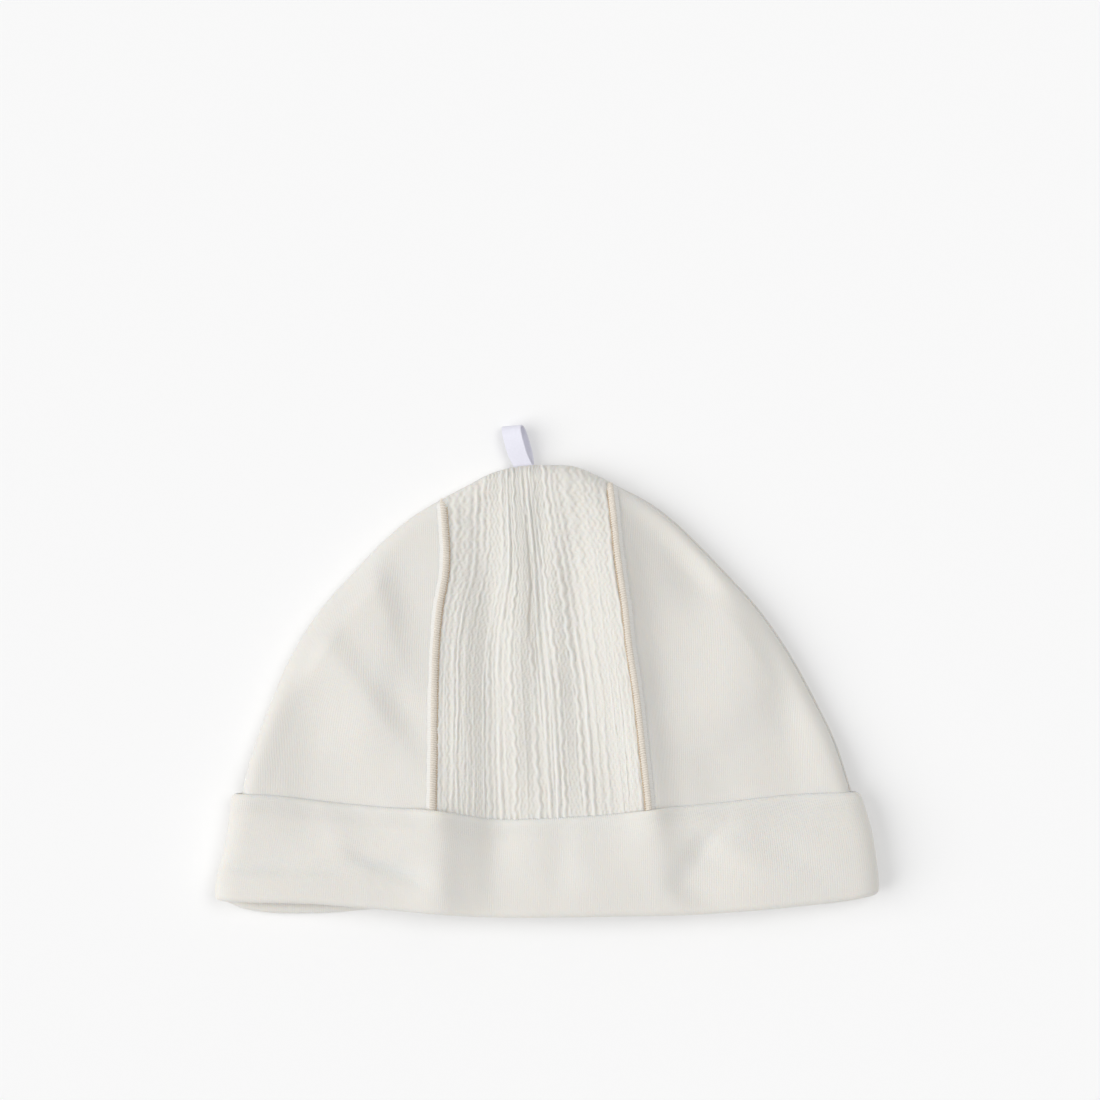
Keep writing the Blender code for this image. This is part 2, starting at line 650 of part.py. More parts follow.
def ribbon_loop(name, material):
    """The hanging loop: a ribbon that leaves the top seam, doubles over and comes back under itself."""
    under_ribbon = np.abs(RIM[:, 0] - LOOP_CENTRE_ACROSS) < RIBBON_WIDTH
    base_y = RIM[under_ribbon, 1].max() + CLEARANCE
    # The ends lie on each other with a clearance, and the loop swells between them and its far end
    angle = np.linspace(-np.pi / 2, np.pi / 2, RIBBON_ROWS + 1)
    strip = np.sign(angle)
    along = np.cos(angle) ** LOOP_LEAVING
    end_height = RIBBON_WALL + CLEARANCE / 2
    swell = end_height + (LOOP_THICKNESS / 2 - end_height) * np.sin(np.pi * along / 2) ** LOOP_SWELLING
    swell = swell * np.sqrt(1 - along**LOOP_BLUNTNESS)
    spread = LOOP_SPREAD * RIBBON_WIDTH * np.sin(np.pi * along)
    middle_x = LOOP_CENTRE_ACROSS - LOOP_LEAN * LOOP_LENGTH * along + spread * strip
    twist = np.radians(LOOP_TWIST) * along
    side = RIBBON_WIDTH * np.linspace(-0.5, 0.5, RIBBON_COLUMNS + 1)[:, None]
    x = middle_x + side * np.cos(twist)
    y = base_y + LOOP_LENGTH * along + LOOP_TIP * side * np.sin(twist)
    z = EDGE_ROUND - swell * strip - side * np.sin(twist)
    sheet_object(name, np.stack([x, y, z], 2).transpose(1, 0, 2), RIBBON_WALL, material)


def add_object(name, data, material):
    data.materials.append(material)
    parts.objects.link(bpy.data.objects.new(name, data))
    return parts.objects[name]


def cloth_material(name, colour, roughness):
    """A matt cloth colour."""
    material = bpy.data.materials.new(name)
    material.use_nodes = True
    shader = material.node_tree.nodes["Principled BSDF"]
    shader.inputs["Base Color"].default_value = (*colour, 1)
    shader.inputs["Roughness"].default_value = roughness
    shader.inputs["Metallic"].default_value = 0
    return material


for old in list(bpy.data.objects):
    bpy.data.objects.remove(old)
parts = bpy.data.collections.new("nightcap")
guides = bpy.data.collections.new("guides")
bpy.context.scene.collection.children.link(parts)
bpy.context.scene.collection.children.link(guides)

jersey = cloth_material("jersey", (0.83, 0.82, 0.79), 0.9)
crinkle = cloth_material("crinkle_knit", (0.85, 0.84, 0.80), 0.9)
thread = cloth_material("seam_thread", (0.80, 0.75, 0.68), 0.8)
satin = cloth_material("satin_ribbon", (0.84, 0.83, 0.90), 0.45)

side_panel("left_panel", left_seam, True, jersey)
side_panel("right_panel", right_seam, False, jersey)
front_panel("front_panel", crinkle)
back_panel("back_panel", jersey)
seam_ridge("left_seam", left_seam, thread)
seam_ridge("right_seam", right_seam, thread)
cuff("cuff", jersey)
ribbon_loop("hanging_loop", satin)
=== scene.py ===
"""A baby's cotton nightcap lying flat on its back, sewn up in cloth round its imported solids.

The crown is a crinkled gauze panel between two overlocked seams, a plain jersey panel on each side of
it and a plain jersey back. A doubled band of the jersey is turned up round the mouth, and a loop of
satin ribbon is caught in the seam at the top. Units are metres, in the frame of the solids.
"""

from collections import namedtuple

import bmesh
import bpy
import numpy as np
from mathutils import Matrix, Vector


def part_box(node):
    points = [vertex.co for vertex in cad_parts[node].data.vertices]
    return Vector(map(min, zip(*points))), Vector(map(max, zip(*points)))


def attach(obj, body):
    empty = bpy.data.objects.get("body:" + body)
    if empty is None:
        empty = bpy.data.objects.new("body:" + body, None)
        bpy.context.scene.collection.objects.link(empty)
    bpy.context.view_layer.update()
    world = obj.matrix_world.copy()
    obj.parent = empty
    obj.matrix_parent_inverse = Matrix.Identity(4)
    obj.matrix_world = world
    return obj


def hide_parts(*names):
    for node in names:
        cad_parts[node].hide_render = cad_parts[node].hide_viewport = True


bl_info = {
    "name": "Baby nightcap",
    "version": (1, 0, 0),
    "blender": (4, 5, 0),
    "location": "View3D > Sidebar > Nightcap",
    "description": "Sews a baby's nightcap with a crinkled front, a turned-up cuff and a ribbon loop",
    "category": "Add Mesh",
}

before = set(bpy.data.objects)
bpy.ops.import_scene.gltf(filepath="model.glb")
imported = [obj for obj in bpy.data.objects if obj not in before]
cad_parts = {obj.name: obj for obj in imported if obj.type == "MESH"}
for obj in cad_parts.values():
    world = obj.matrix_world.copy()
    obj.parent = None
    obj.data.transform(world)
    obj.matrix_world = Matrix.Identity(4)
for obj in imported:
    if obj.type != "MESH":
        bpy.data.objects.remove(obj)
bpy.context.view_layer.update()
CUFF_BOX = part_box("cuff")
MM = 0.001
OUTWARD = {"left": -1, "right": 1}


def table(kind, *rows):
    """A list of rows of one kind, from numbers in the order of its columns."""
    return [kind(*row) for row in rows]


# Lengths are in metres and angles in radians, unless a comment says otherwise.

# The crown's outline above the cuff: across as a share of the crown's half width, up of its rise
OutlineRow = namedtuple("OutlineRow", "across up")
OUTLINE = table(
    OutlineRow,
    (-0.956, 0.153), (-0.900, 0.291), (-0.834, 0.428), (-0.737, 0.566), (-0.650, 0.657),
    (-0.557, 0.749), (-0.442, 0.841), (-0.362, 0.887), (-0.267, 0.934), (-0.178, 0.976),
    (-0.089, 0.997), (0.000, 1.000), (0.092, 0.995), (0.155, 0.972), (0.244, 0.927), (0.323, 0.887),
    (0.392, 0.841), (0.498, 0.749), (0.593, 0.657), (0.682, 0.566), (0.787, 0.428), (0.869, 0.291),
    (0.941, 0.153),
)

# The two overlocked seams, bottom to top: up as a share of the rise, left and right as shares of the
# front panel's width
SeamRow = namedtuple("SeamRow", "up left right")
SEAMS = table(
    SeamRow,
    (-0.20, -0.533, 0.482), (-0.05, -0.531, 0.473), (0.12, -0.527, 0.446), (0.31, -0.524, 0.414),
    (0.45, -0.517, 0.382), (0.58, -0.497, 0.361), (0.66, -0.475, 0.343), (0.73, -0.469, 0.329),
    (0.81, -0.476, 0.317), (0.89, -0.484, 0.304), (1.00, -0.490, 0.286),
)

# The cuff's edges: across as a share of its half width, and heights as shares of the cuff's height
CuffRow = namedtuple("CuffRow", "across front_lip back_lip front_top back_top")
CUFF = table(
    CuffRow,
    (-1.00, 0.135, 0.135, 1.150, 1.150),
    (-0.90, 0.127, 0.047, 1.146, 1.150),
    (-0.70, 0.115, 0.014, 1.080, 1.130),
    (-0.50, 0.066, 0.057, 1.030, 1.110),
    (-0.35, 0.026, 0.060, 1.000, 1.100),
    (-0.18, -0.008, 0.055, 0.918, 1.090),
    (0.00, -0.010, 0.050, 0.929, 1.090),
    (0.20, 0.000, 0.050, 0.965, 1.100),
    (0.40, 0.010, 0.055, 1.035, 1.110),
    (0.55, 0.038, 0.070, 1.075, 1.120),
    (0.70, 0.075, 0.094, 1.125, 1.140),
    (0.85, 0.125, 0.105, 1.160, 1.160),
    (1.00, 0.185, 0.185, 1.165, 1.165),
)

# The cuff's side folds: up as a share of its height, left and right from 0 at the upper width to 1 at
# the lower
CuffSideRow = namedtuple("CuffSideRow", "up left right")
CUFF_SIDES = table(
    CuffSideRow,
    (0.00, 1.00, 0.96), (0.20, 1.00, 1.00), (0.38, 0.88, 0.96), (0.52, 0.64, 0.86),
    (0.66, 0.48, 0.74), (0.80, 0.30, 0.60), (0.94, 0.18, 0.36), (1.08, 0.08, 0.10),
    (1.17, 0.00, -0.10),
)

# Soft folds of the front: across as a share of the crown's half width, up of its rise, the length, the
# half widths of the left and right flanks and the height in millimetres, and the lean in degrees
# anticlockwise from upright
FoldRow = namedtuple("FoldRow", "across up length left right lean height")
FOLDS = table(
    FoldRow,
    # The rise that the right seam runs along, and what lies beside it
    (0.28, 0.38, 92, 7.0, 4.8, 8, 3.5),
    (0.46, 0.76, 32, 8.5, 6.0, 22, -2.6),
    (0.66, 0.38, 42, 11.0, 7.5, 6, 1.8),
    (0.78, 0.12, 32, 13.0, 7.0, 12, -1.6),
    (0.55, 0.04, 18, 8.0, 8.0, 8, -1.0),
    # Dents and rises along the gauze
    (-0.185, 0.36, 92, 5.2, 5.0, 2, -2.4),
    (-0.02, 0.62, 44, 2.4, 2.4, 2, -1.12),
    (-0.04, 0.28, 44, 3.2, 4.5, 0, -1.1),
    (0.092, 0.45, 56, 4.4, 4.4, 2, -1.5),
    # The dented left panel
    (-0.555, 0.58, 44, 15.0, 5.2, 19, 2.3),
    (-0.65, 0.335, 36, 14.0, 6.2, 38, 2.9),
    (-0.74, 0.14, 40, 11.0, 20.0, -6, -3.4),
    (-0.45, 0.22, 22, 5.0, 5.0, 35, -1.0),
    (-0.475, 0.44, 16, 4.0, 4.0, 12, -0.7),
    # Folds that run on into the cuff
    (-0.48, -0.10, 16, 6.0, 5.0, 30, 0.7),
    (-0.355, -0.20, 34, 7.0, 5.4, 0, 2.2),
    (-0.165, -0.20, 30, 6.0, 14.0, 0, -1.7),
    (0.045, -0.19, 22, 4.2, 4.2, 0, -0.62),
    (0.485, -0.235, 16, 5.0, 11.0, -32, -1.9),
)

# Creases of the cuff's outer face alone, in the same terms
CREASES = table(
    FoldRow,
    (-0.52, -0.23, 22, 2.2, 3.0, 68, -0.9),
    (-0.86, -0.235, 38, 1.6, 2.6, 88, -0.7),
    (0.54, -0.13, 16, 2.6, 2.6, -40, -0.4),
    (0.80, -0.20, 24, 3.4, 3.4, 64, -0.25),
    (-0.70, -0.10, 20, 4.0, 4.0, 24, 0.3),
)

# The gauze's gathered ribs: across as a share of the panel's width, half width and height in
# millimetres, and how far and how long they waver, in millimetres
RibRow = namedtuple("RibRow", "across width height sway period")
RIBS = table(
    RibRow,
    (0.030, 0.50, 0.45, 0.30, 4.6),
    (0.064, 0.42, 0.36, 0.34, 3.9),
    (0.088, 0.50, 0.55, 0.16, 7.0),
    (0.112, 0.42, 0.60, 0.14, 8.5),
    (0.142, 0.46, 0.52, 0.18, 6.1),
    (0.170, 0.40, 0.42, 0.24, 5.2),
    (0.262, 0.62, 0.62, 0.34, 4.4),
    (0.290, 0.40, 0.42, 0.16, 6.4),
    (0.318, 0.60, 0.85, 0.10, 9.0),
    (0.350, 0.42, 0.44, 0.22, 5.0),
    (0.384, 0.60, 0.60, 0.40, 4.2),
    (0.492, 0.66, 0.66, 0.38, 4.7),
    (0.542, 0.62, 0.78, 0.16, 7.4),
    (0.584, 0.62, 0.74, 0.14, 8.2),
    (0.615, 0.60, 0.62, 0.36, 4.5),
    (0.708, 0.62, 0.66, 0.34, 4.3),
    (0.748, 0.54, 0.72, 0.14, 7.8),
    (0.784, 0.46, 0.46, 0.20, 6.0),
    (0.824, 0.60, 0.50, 0.34, 4.9),
    (0.880, 0.90, 0.20, 0.30, 5.5),
    (0.930, 0.70, 0.24, 0.26, 6.2),
    (0.972, 0.60, 0.62, 0.22, 6.8),
)

# The fine ribs between them are drawn evenly from this range, in the same terms: across is how far
# each strays from its place
FINE_RIBS = 26
FINE_FROM = RibRow(across=-0.012, width=0.24, height=0.3, sway=0.05, period=4)
FINE_TO = RibRow(across=0.012, width=0.34, height=0.6, sway=0.20, period=8)

# How the gauze is gathered: where its ribs crowd, as a share of its width, how far that reaches, from
# which share of the rise on they crowd, and over what share of it they grow denser
GATHER_AT = 0.46
GATHER_REACH = 0.26
GATHER_FROM = 0.30
DENSER_REACH = 0.45

# A rib of the gauze: shares of its tabled height, width and sway, what is added to the last two where
# the ribs are denser, and the steps of its random wavering. The furrow at each side is as deep as a
# share of its height, at a distance and with a width in half widths of the rib
RIB_RISE = 0.56
RIB_WIDTH, DENSER_WIDTH = 0.78, 0.14
RIB_SWAY, DENSER_SWAY = 0.7, 0.35
STRAY_STEP, SLOW_STEP, SWELL_STEP = 0.0026, 0.016, 0.0034
FURROW_DEPTH = 0.30
FURROW_AT = 1.8
FURROW_WIDTH = 0.7
FINE_RIB_LOSS = 0.6
RIB_DRIFT = 0.35 * MM

# The gauze's ground of fine zigzag lines and crumples, the hems beside its seams, in millimetres, and
# the one deep crease beside where it is gathered
ZIGZAG_SWAY = 0.40 * MM
ZIGZAG_PERIOD = 3.0 * MM
LINE_HEIGHT = 0.085 * MM
CRUMPLE_HEIGHT = 0.02 * MM
CRUMPLE_STEP = 0.0011
GROUND_LOSS, GROUND_LOSS_AT = 0.6, 0.4 * MM
HEM_LEFT, HEM_RIGHT = 0.45, -0.35
HEM_WIDTH = 1.3 * MM
PINCH_AT = 0.037
PINCH_DEPTH = 0.6 * MM
PINCH_WIDTH = 0.5 * MM
PINCH_STRAY, PINCH_STEP = 0.3 * MM, 0.009
PINCH_FROM, PINCH_OVER = 0.42, 0.12
PINCH_FADE_FROM, PINCH_FADE_OVER = 0.7, 0.2
GAUZE_SINK = 0.15 * MM

# The crown: its rounded edge, how far in from it the swell and the folds are whole, how far it goes
# on down inside the cuff, the slits and lips where its panels meet, and where the back shows at the
# right of the front
EDGE_ROUND = 0.0032
EDGE_REACH = 0.0040
EDGE_POWER = 2.6
LOFT_REACH = 0.0450
FOLD_FADE = 0.0080
CROWN_TUCK = 0.0120
SEAM_TUCK = 0.0028
SEAM_SLIT = 0.00012
RIM_LIP = 0.00012
CURL_DROP = 0.0001
CURL_INSET = 0.0008
BACK_PEEK = 0.0005
PEEK_FROM, PEEK_OVER, PEEK_REACH = 0.01, 0.02, 0.006
FLOOR_CLEARANCE = 0.00005

# Random unevenness: its height, and the distance over which it changes
RUMPLE_HEIGHT, RUMPLE_STEP = 0.20 * MM, 0.013
RIPPLE_HEIGHT, RIPPLE_STEP = 0.05 * MM, 0.0052
BACK_RUMPLE_HEIGHT, BACK_RUMPLE_STEP = 0.22 * MM, 0.016

# The cuff's cloth, the space under it, and how it flares and settles along its upper edge
CUFF_WALL = 0.0011
CUFF_DOUBLED_WALL = 0.0008
CUFF_GAP = 0.0004
CUFF_SIDE_EASE = 0.0011
CUFF_FLARE = 0.0011
CUFF_FLARE_REACH = 0.0110
CUFF_FLARE_WIDTH = 5.5 * MM
CUFF_TOP_ROUND = 0.0014
CUFF_SETTLE = 0.00095
CUFF_SETTLE_REACH = 0.0050
CUFF_LIFT_REACH = 0.0200

# The seams' ridges: how wide the two flanks are in half widths, how far the underside and the foot lie
# under the panels, how the ends close and the width wavers, and the thread along the foot, its
# thickness as a share of the stitches' thread
FLANK_GAUZE, FLANK_JERSEY = 0.95, 1.45
RIDGE_UNDER = 0.6 * MM
RIDGE_FOOT = 0.05 * MM
RIDGE_CLOSE_LOW, RIDGE_CLOSE_TOP = 2.0 * MM, 2.2 * MM
RIDGE_SWELL, RIDGE_SWELL_STEP = 0.05, 0.0016
EDGING_OUT = 0.02 * MM
EDGING_UP = 0.26 * MM
EDGING_WAVE = 0.06 * MM
EDGING_THICKNESS = 0.92

# The seams' ends, at this angle round the rounded edge and sunk by a share of their height, and the
# stitches: places across the ridge that a loop goes through, and its slant in stitches
SEAM_END = 0.14
SEAM_SINK = 0.8
SEAM_STEP = 0.0004
STITCH_PLACES = [-1.0, -0.97, -0.85, -0.6, -0.3, 0.0, 0.25, 0.45]
STITCH_SLANT, STITCH_STRAY = 0.55, 0.12

# The ribbon: its thickness, how far its ends go into the top, how its two halves stand apart at the
# ends and on the way, how far they spread as a share of the width, the lean of the loop as a share of
# its length, and its twist in degrees
RIBBON_WALL = 0.0003
RIBBON_TUCK = 0.0012
RIBBON_APART, RIBBON_SWELL = 0.45 * MM, 1.3 * MM
RIBBON_SPREAD = 0.16
RIBBON_LEAN = 0.28
RIBBON_TWIST = 16

# Threads too fine for the meshes: their pitch in the gauze, in plied thread and in satin, and how
# cotton cloth shines
GAUZE_WARP, GAUZE_WEFT = 0.00034, 0.00038
PLY_PITCH = 0.0005
SATIN_WARP, SATIN_WEFT = 0.00016, 0.00022
COTTON = {"roughness": 0.95, "sheen": 0.12, "specular": 0.2}

# The room: the floor, the glow of it and of the air round it, and the camera's lens and sensor, both
# in millimetres, and place
FLOOR_SIZE = 4.0
FLOOR_GLOW = 0.12
WORLD_GLOW = 0.46
LENS, SENSOR = 173.55, 36.0
CAMERA_AT = (0.0008, 0.0370, 1.4050)

# The lights, soft because they are wide: strength, width in radians and the way that they shine
LightRow = namedtuple("LightRow", "name energy angle toward")
LIGHTS = [
    LightRow(name="soft_window", energy=1.80, angle=0.95, toward=(0.82, 0.10, -0.64)),
    LightRow(name="ceiling", energy=0.70, angle=0.60, toward=(-0.40, -0.22, -1.0)),
]

# How many values a random line or relief holds on each side of its middle
WANDER_HALF = 200
MOTTLE_HALF = 80

# Points of a mesh closer than this are one
CLOTH_WELD = 0.00003
TUBE_WELD = 0.000001

# How finely each piece is divided
OUTLINE_SAMPLES = 480
ROUND_STEPS = 9
SIDE_COLUMNS, SIDE_ROWS = 112, 112
GAUZE_COLUMNS, GAUZE_ROWS = 212, 222
BACK_COLUMNS, BACK_ROWS = 210, 84
CUFF_COLUMNS, CUFF_BACK_COLUMNS = 210, 100
RIBBON_COLUMNS, RIBBON_ROWS = 25, 97
TUBE_SIDES = 6

# Steps round the cuff's section: its outer face, the turn at the mouth, the lining, the lining's hem,
# the hidden sides, the inside of the outer face and the upper edge
OUTER_STEPS, MOUTH_STEPS, LINING_STEPS, HEM_STEPS = 30, 14, 16, 7
HIDDEN_STEPS, UNDER_STEPS, TOP_STEPS = 8, 12, 10


def length(name, description, default):
    return bpy.props.FloatProperty(
        name=name, description=description, default=default, min=0.0, unit="LENGTH"
    )


def colour(name, description, default):
    return bpy.props.FloatVectorProperty(
        name=name, description=description, default=default, size=3, min=0.0, max=1.0, subtype="COLOR"
    )


class NightcapSizes(bpy.types.PropertyGroup):
    """Sizes of the cap as it lies flat"""

    cuff_lower_width: length(
        "Cuff width", "Width of the cuff along the mouth", CUFF_BOX[1].x - CUFF_BOX[0].x
    )
    cuff_upper_width: length("Cuff upper width", "Width of the cuff along its upper edge", 0.1658)
    cuff_height: length("Cuff height", "Height of the turned-up cuff at the middle", 0.0280)
    lining_height: length("Lining height", "Height of the cuff's lining inside the mouth", 0.0220)
    crown_width: length("Crown width", "Width of the crown where it comes out of the cuff", 0.1608)
    crown_rise: length("Crown rise", "Height of the crown above the cuff's corners", 0.0863)
    crown_loft: length("Crown loft", "How much the front swells above its rounded edge", 0.0022)
    front_panel_width: length("Front panel width", "Width that the seams' places are shares of", 0.0570)
    seam_width: length("Seam width", "Width of a raised overlocked seam", 0.0022)
    seam_height: length("Seam height", "Height of a raised seam above its panels", 0.00085)
    stitch_pitch: length("Stitch pitch", "Distance from one overlock stitch to the next", 0.00062)
    thread_width: length("Thread width", "Thickness of the overlock thread", 0.00034)
    ribbon_width: length("Ribbon width", "Width of the satin ribbon", 0.0052)
    loop_length: length("Loop length", "How far the ribbon loop stands out of the top", 0.0104)
    loop_across: bpy.props.FloatProperty(
        name="Loop place",
        description="Place of the ribbon loop across the cap",
        default=-0.0059,
        unit="LENGTH",
    )
    cloth_wall: length("Cloth thickness", "Thickness of the crown's cloth", 0.0010)
    wale_pitch: length("Wale pitch", "Width of one wale of the jersey", 0.00056)
    course_pitch: length("Course pitch", "Height of one course of the jersey", 0.00042)
    crinkle_pitch: length("Crinkle pitch", "Distance between the gauze's fine zigzag lines", 0.00118)


class NightcapColours(bpy.types.PropertyGroup):
    """Colours of the cap and of the floor it lies on"""

    jersey: colour("Jersey", "Plain knit of the sides, the back and the cuff", (0.788, 0.772, 0.738))
    gauze: colour("Gauze", "Crinkled gauze of the front panel", (0.815, 0.797, 0.757))
    thread: colour("Thread", "Overlock thread along the raised seams", (0.86, 0.80, 0.715))
    edging: colour("Edge thread", "Darker thread that runs along a seam", (0.62, 0.485, 0.34))
    ribbon: colour("Ribbon", "Satin ribbon of the loop", (0.785, 0.78, 0.87))
    floor: colour("Floor", "Floor that the cap lies on", (0.813, 0.813, 0.813))


def through(knots, values):
    """Smooth curve through a table's column, as a function of the knot column."""
    knots = np.asarray(knots, float)
    values = np.asarray(values, float)
    slopes = np.gradient(values, knots)

    def at(x):
        x = np.clip(np.asarray(x, float), knots[0], knots[-1])
        k = np.clip(np.searchsorted(knots, x) - 1, 0, len(knots) - 2)
        span = knots[k + 1] - knots[k]
        t = (x - knots[k]) / span
        start = (1 + 2 * t) * (1 - t) ** 2 * values[k] + t * (1 - t) ** 2 * span * slopes[k]
        end = t**2 * (3 - 2 * t) * values[k + 1] + t**2 * (t - 1) * span * slopes[k + 1]
        return start + end

    return at


def curves(rows):
    """Smooth curves through every column of a table but its first, as functions of the first."""
    first, *others = rows[0]._fields
    knots = [getattr(row, first) for row in rows]
    return {name: through(knots, [getattr(row, name) for row in rows]) for name in others}


def quarter(t):
    """Height of a quarter circle, from 0 at its upright foot to 1 where it is level."""
    return np.sqrt(1 - (1 - np.clip(t, 0, 1)) ** 2)


def rounded(t):
    """Height of the crown's folded edge, a little squarer than a quarter circle."""
    return (1 - (1 - np.clip(t, 0, 1)) ** EDGE_POWER) ** (1 / EDGE_POWER)


def bell(t):
    """A soft hump, 1 at 0 and almost 0 beyond 2."""
    return np.exp(-(t**2))


def ease(t):
    """Smooth step from 0 to 1."""
    t = np.clip(t, 0, 1)
    return t * t * (3 - 2 * t)


def wander(seed, step):
    """A smooth random line: values from -1 to 1 that change over about one step, the same each run."""
    values = np.random.default_rng(seed).uniform(-1, 1, 2 * WANDER_HALF)

    def at(x):
        place = np.asarray(x, float) / step + WANDER_HALF
        k = np.clip(np.floor(place).astype(int), 0, len(values) - 2)
        return values[k] + (values[k + 1] - values[k]) * ease(place - k)

    return at


def mottle(seed, step):
    """A smooth random relief over the plan, from -1 to 1."""
    size = 2 * MOTTLE_HALF
    values = np.random.default_rng(seed).uniform(-1, 1, (size, size))

    def at(x, y):
        px, py = (np.asarray(place, float) / step + MOTTLE_HALF for place in (x, y))
        i, j = (np.clip(np.floor(place).astype(int), 0, size - 2) for place in (px, py))
        s, t = ease(px - i), ease(py - j)
        low = values[i, j] * (1 - s) + values[i + 1, j] * s
        high = values[i, j + 1] * (1 - s) + values[i + 1, j + 1] * s
        return low * (1 - t) + high * t

    return at


def run_of(points):
    """Distance travelled along a row of points, from 0 at the first."""
    steps = np.sqrt((np.diff(points, axis=0) ** 2).sum(-1))
    return np.concatenate([[0.0], np.cumsum(steps)])


def resample(points, step):
    """The same line through points about a step apart."""
    run = run_of(points)
    even = np.linspace(0, run[-1], max(2, round(run[-1] / step) + 1))
    return np.stack([np.interp(even, run, points[:, k]) for k in range(points.shape[1])], 1)


def unit(vectors):
    """The same directions, one metre long."""
    return vectors / np.linalg.norm(vectors, axis=-1, keepdims=True)


def weave_over(across, along):
    """Weave coordinates of a grid, from a place for each column and one for each row."""
    return np.stack(np.broadcast_arrays(across[None, :], along[:, None]), 2)


class Form:
    """Where the cap's cloth lies, worked out from its sizes."""

    def __init__(self, sizes):
        self.s = sizes
        corner_rise = max(row.front_top for row in CUFF) * sizes.cuff_height
        self.lip_y = -(corner_rise + sizes.crown_rise) / 2
        self.corner_y = self.lip_y + corner_rise
        self.cuff_lift = CUFF_WALL + CUFF_GAP
        self.lining_inset = sizes.cloth_wall + CUFF_GAP + CUFF_WALL
        self.crown_half = sizes.crown_width / 2
        self.cuff_inset = sizes.cuff_upper_width / 2 - self.crown_half
        self.edges, self.sides, self.seams = curves(CUFF), curves(CUFF_SIDES), curves(SEAMS)
        self.rim = self.outline()
        self.rim_share = np.linspace(0, 1, len(self.rim))
        self.apex = int(np.argmax(self.rim[:, 1]))
        self.rumple = mottle(7, RUMPLE_STEP)
        self.ripple = mottle(11, RIPPLE_STEP)

    def cuff_side(self, y, side):
        """Place across of the cuff's outer face at height y, on the left or right."""
        share = self.sides[side]((np.asarray(y) - self.lip_y) / self.s.cuff_height)
        upper, lower = self.s.cuff_upper_width, self.s.cuff_lower_width
        return OUTWARD[side] * (upper + share * (lower - upper)) / 2

    def edge(self, name, across):
        """Height along Y of one of the cuff's edges."""
        return self.lip_y + self.edges[name](np.clip(across, -1, 1)) * self.s.cuff_height

    def across_of(self, x):
        return 2 * np.asarray(x) / self.s.cuff_upper_width

    def seam_x(self, y, side):
        """Place across of a seam's line at height y."""
        up = (np.asarray(y) - self.corner_y) / self.s.crown_rise
        return self.s.front_panel_width * self.seams[side](up)

    def outline(self):
        """Points of the crown's outline, up the left side, over the top and down the right."""
        levels = np.linspace(self.lip_y, self.corner_y, 6)
        left = [(float(self.cuff_side(y, "left")) + self.cuff_inset, y) for y in levels]
        rise = self.s.crown_rise
        dome = [(row.across * self.crown_half, self.corner_y + row.up * rise) for row in OUTLINE]
        right = [(float(self.cuff_side(y, "right")) - self.cuff_inset, y) for y in levels[::-1]]
        points = np.array(left + dome + right)
        run = run_of(points)
        samples = np.linspace(0, run[-1], OUTLINE_SAMPLES)
        return np.stack([through(run, points[:, k])(samples) for k in range(2)], 1)

    def rim_at(self, share):
        """Point of the outline at a share of its length."""
        return tuple(np.interp(share, self.rim_share, self.rim[:, k]) for k in range(2))

    def share_at_height(self, y, side):
        """Where along the rim the outline passes height y."""
        half = slice(None, self.apex + 1) if side == "left" else slice(self.apex, None)
        heights, shares = self.rim[half, 1], self.rim_share[half]
        if side == "right":
            heights, shares = heights[::-1], shares[::-1]
        return float(np.interp(y, heights, shares))

    def share_at_seam(self, side, offset=0.0):
        """Where along the rim it crosses a line beside a seam, near the top of the crown."""
        upper = self.rim[:, 1] > self.corner_y + self.s.crown_rise / 2
        beyond = self.rim[upper, 0] - self.seam_x(self.rim[upper, 1], side) - offset
        return float(np.interp(0, beyond, self.rim_share[upper]))

    def edge_distance(self, x, y):
        """Distance from each point to the crown's outline."""
        points = np.stack([np.ravel(x), np.ravel(y)], 1)
        start, step = self.rim[:-1], np.diff(self.rim, axis=0)
        squared = (step**2).sum(1)
        found = []
        for some in np.array_split(points, 1 + len(points) // 4000):
            along = ((some[:, None] - start) * step).sum(2) / squared
            nearest = start + np.clip(along, 0, 1)[..., None] * step
            found.append(np.sqrt(((some[:, None] - nearest) ** 2).sum(2).min(1)))
        return np.concatenate(found).reshape(np.shape(x))

    def rim_height(self, y):
        """Height of the widest line, which the cuff under it lifts off the floor."""
        lifted = 1 - ease((np.asarray(y) - self.corner_y) / CUFF_LIFT_REACH)
        return self.cuff_lift * lifted + EDGE_ROUND

    def fold_heights(self, rows, x, y):
        """Sum of a table's folds."""
        total = np.zeros(np.shape(x))
        for row in rows:
            lean = np.radians(row.lean)
            dx = x - row.across * self.crown_half
            dy = y - (self.corner_y + row.up * self.s.crown_rise)
            along = (dy * np.cos(lean) - dx * np.sin(lean)) / (row.length * MM / 2)
            beside = (dx * np.cos(lean) + dy * np.sin(lean)) / MM
            beside = beside / np.where(beside < 0, row.left, row.right)
            total = total + row.height * MM * np.exp(-(beside**2) - along**4)
        return total

    def folds(self, x, y, distance):
        """The soft folds and unevenness of the front, fading out towards the outline."""
        soft = self.rumple(x, y) * RUMPLE_HEIGHT + self.ripple(x + 0.3 * y, y) * RIPPLE_HEIGHT
        return (self.fold_heights(FOLDS, x, y) + soft) * ease(distance / FOLD_FADE)

    def loft(self, x, y, distance):
        """How much the front rises above the rounded edge."""
        t = np.clip(distance / LOFT_REACH, 0, 1)
        return self.s.crown_loft * (1.5 * t - 0.5 * t**3) + self.folds(x, y, distance)

    def crown_front(self, x, y):
        """Height of the crown's outer face in front."""
        distance = self.edge_distance(x, y)
        edge = EDGE_ROUND * rounded(distance / EDGE_REACH)
        return self.rim_height(y) + edge + self.loft(x, y, distance)

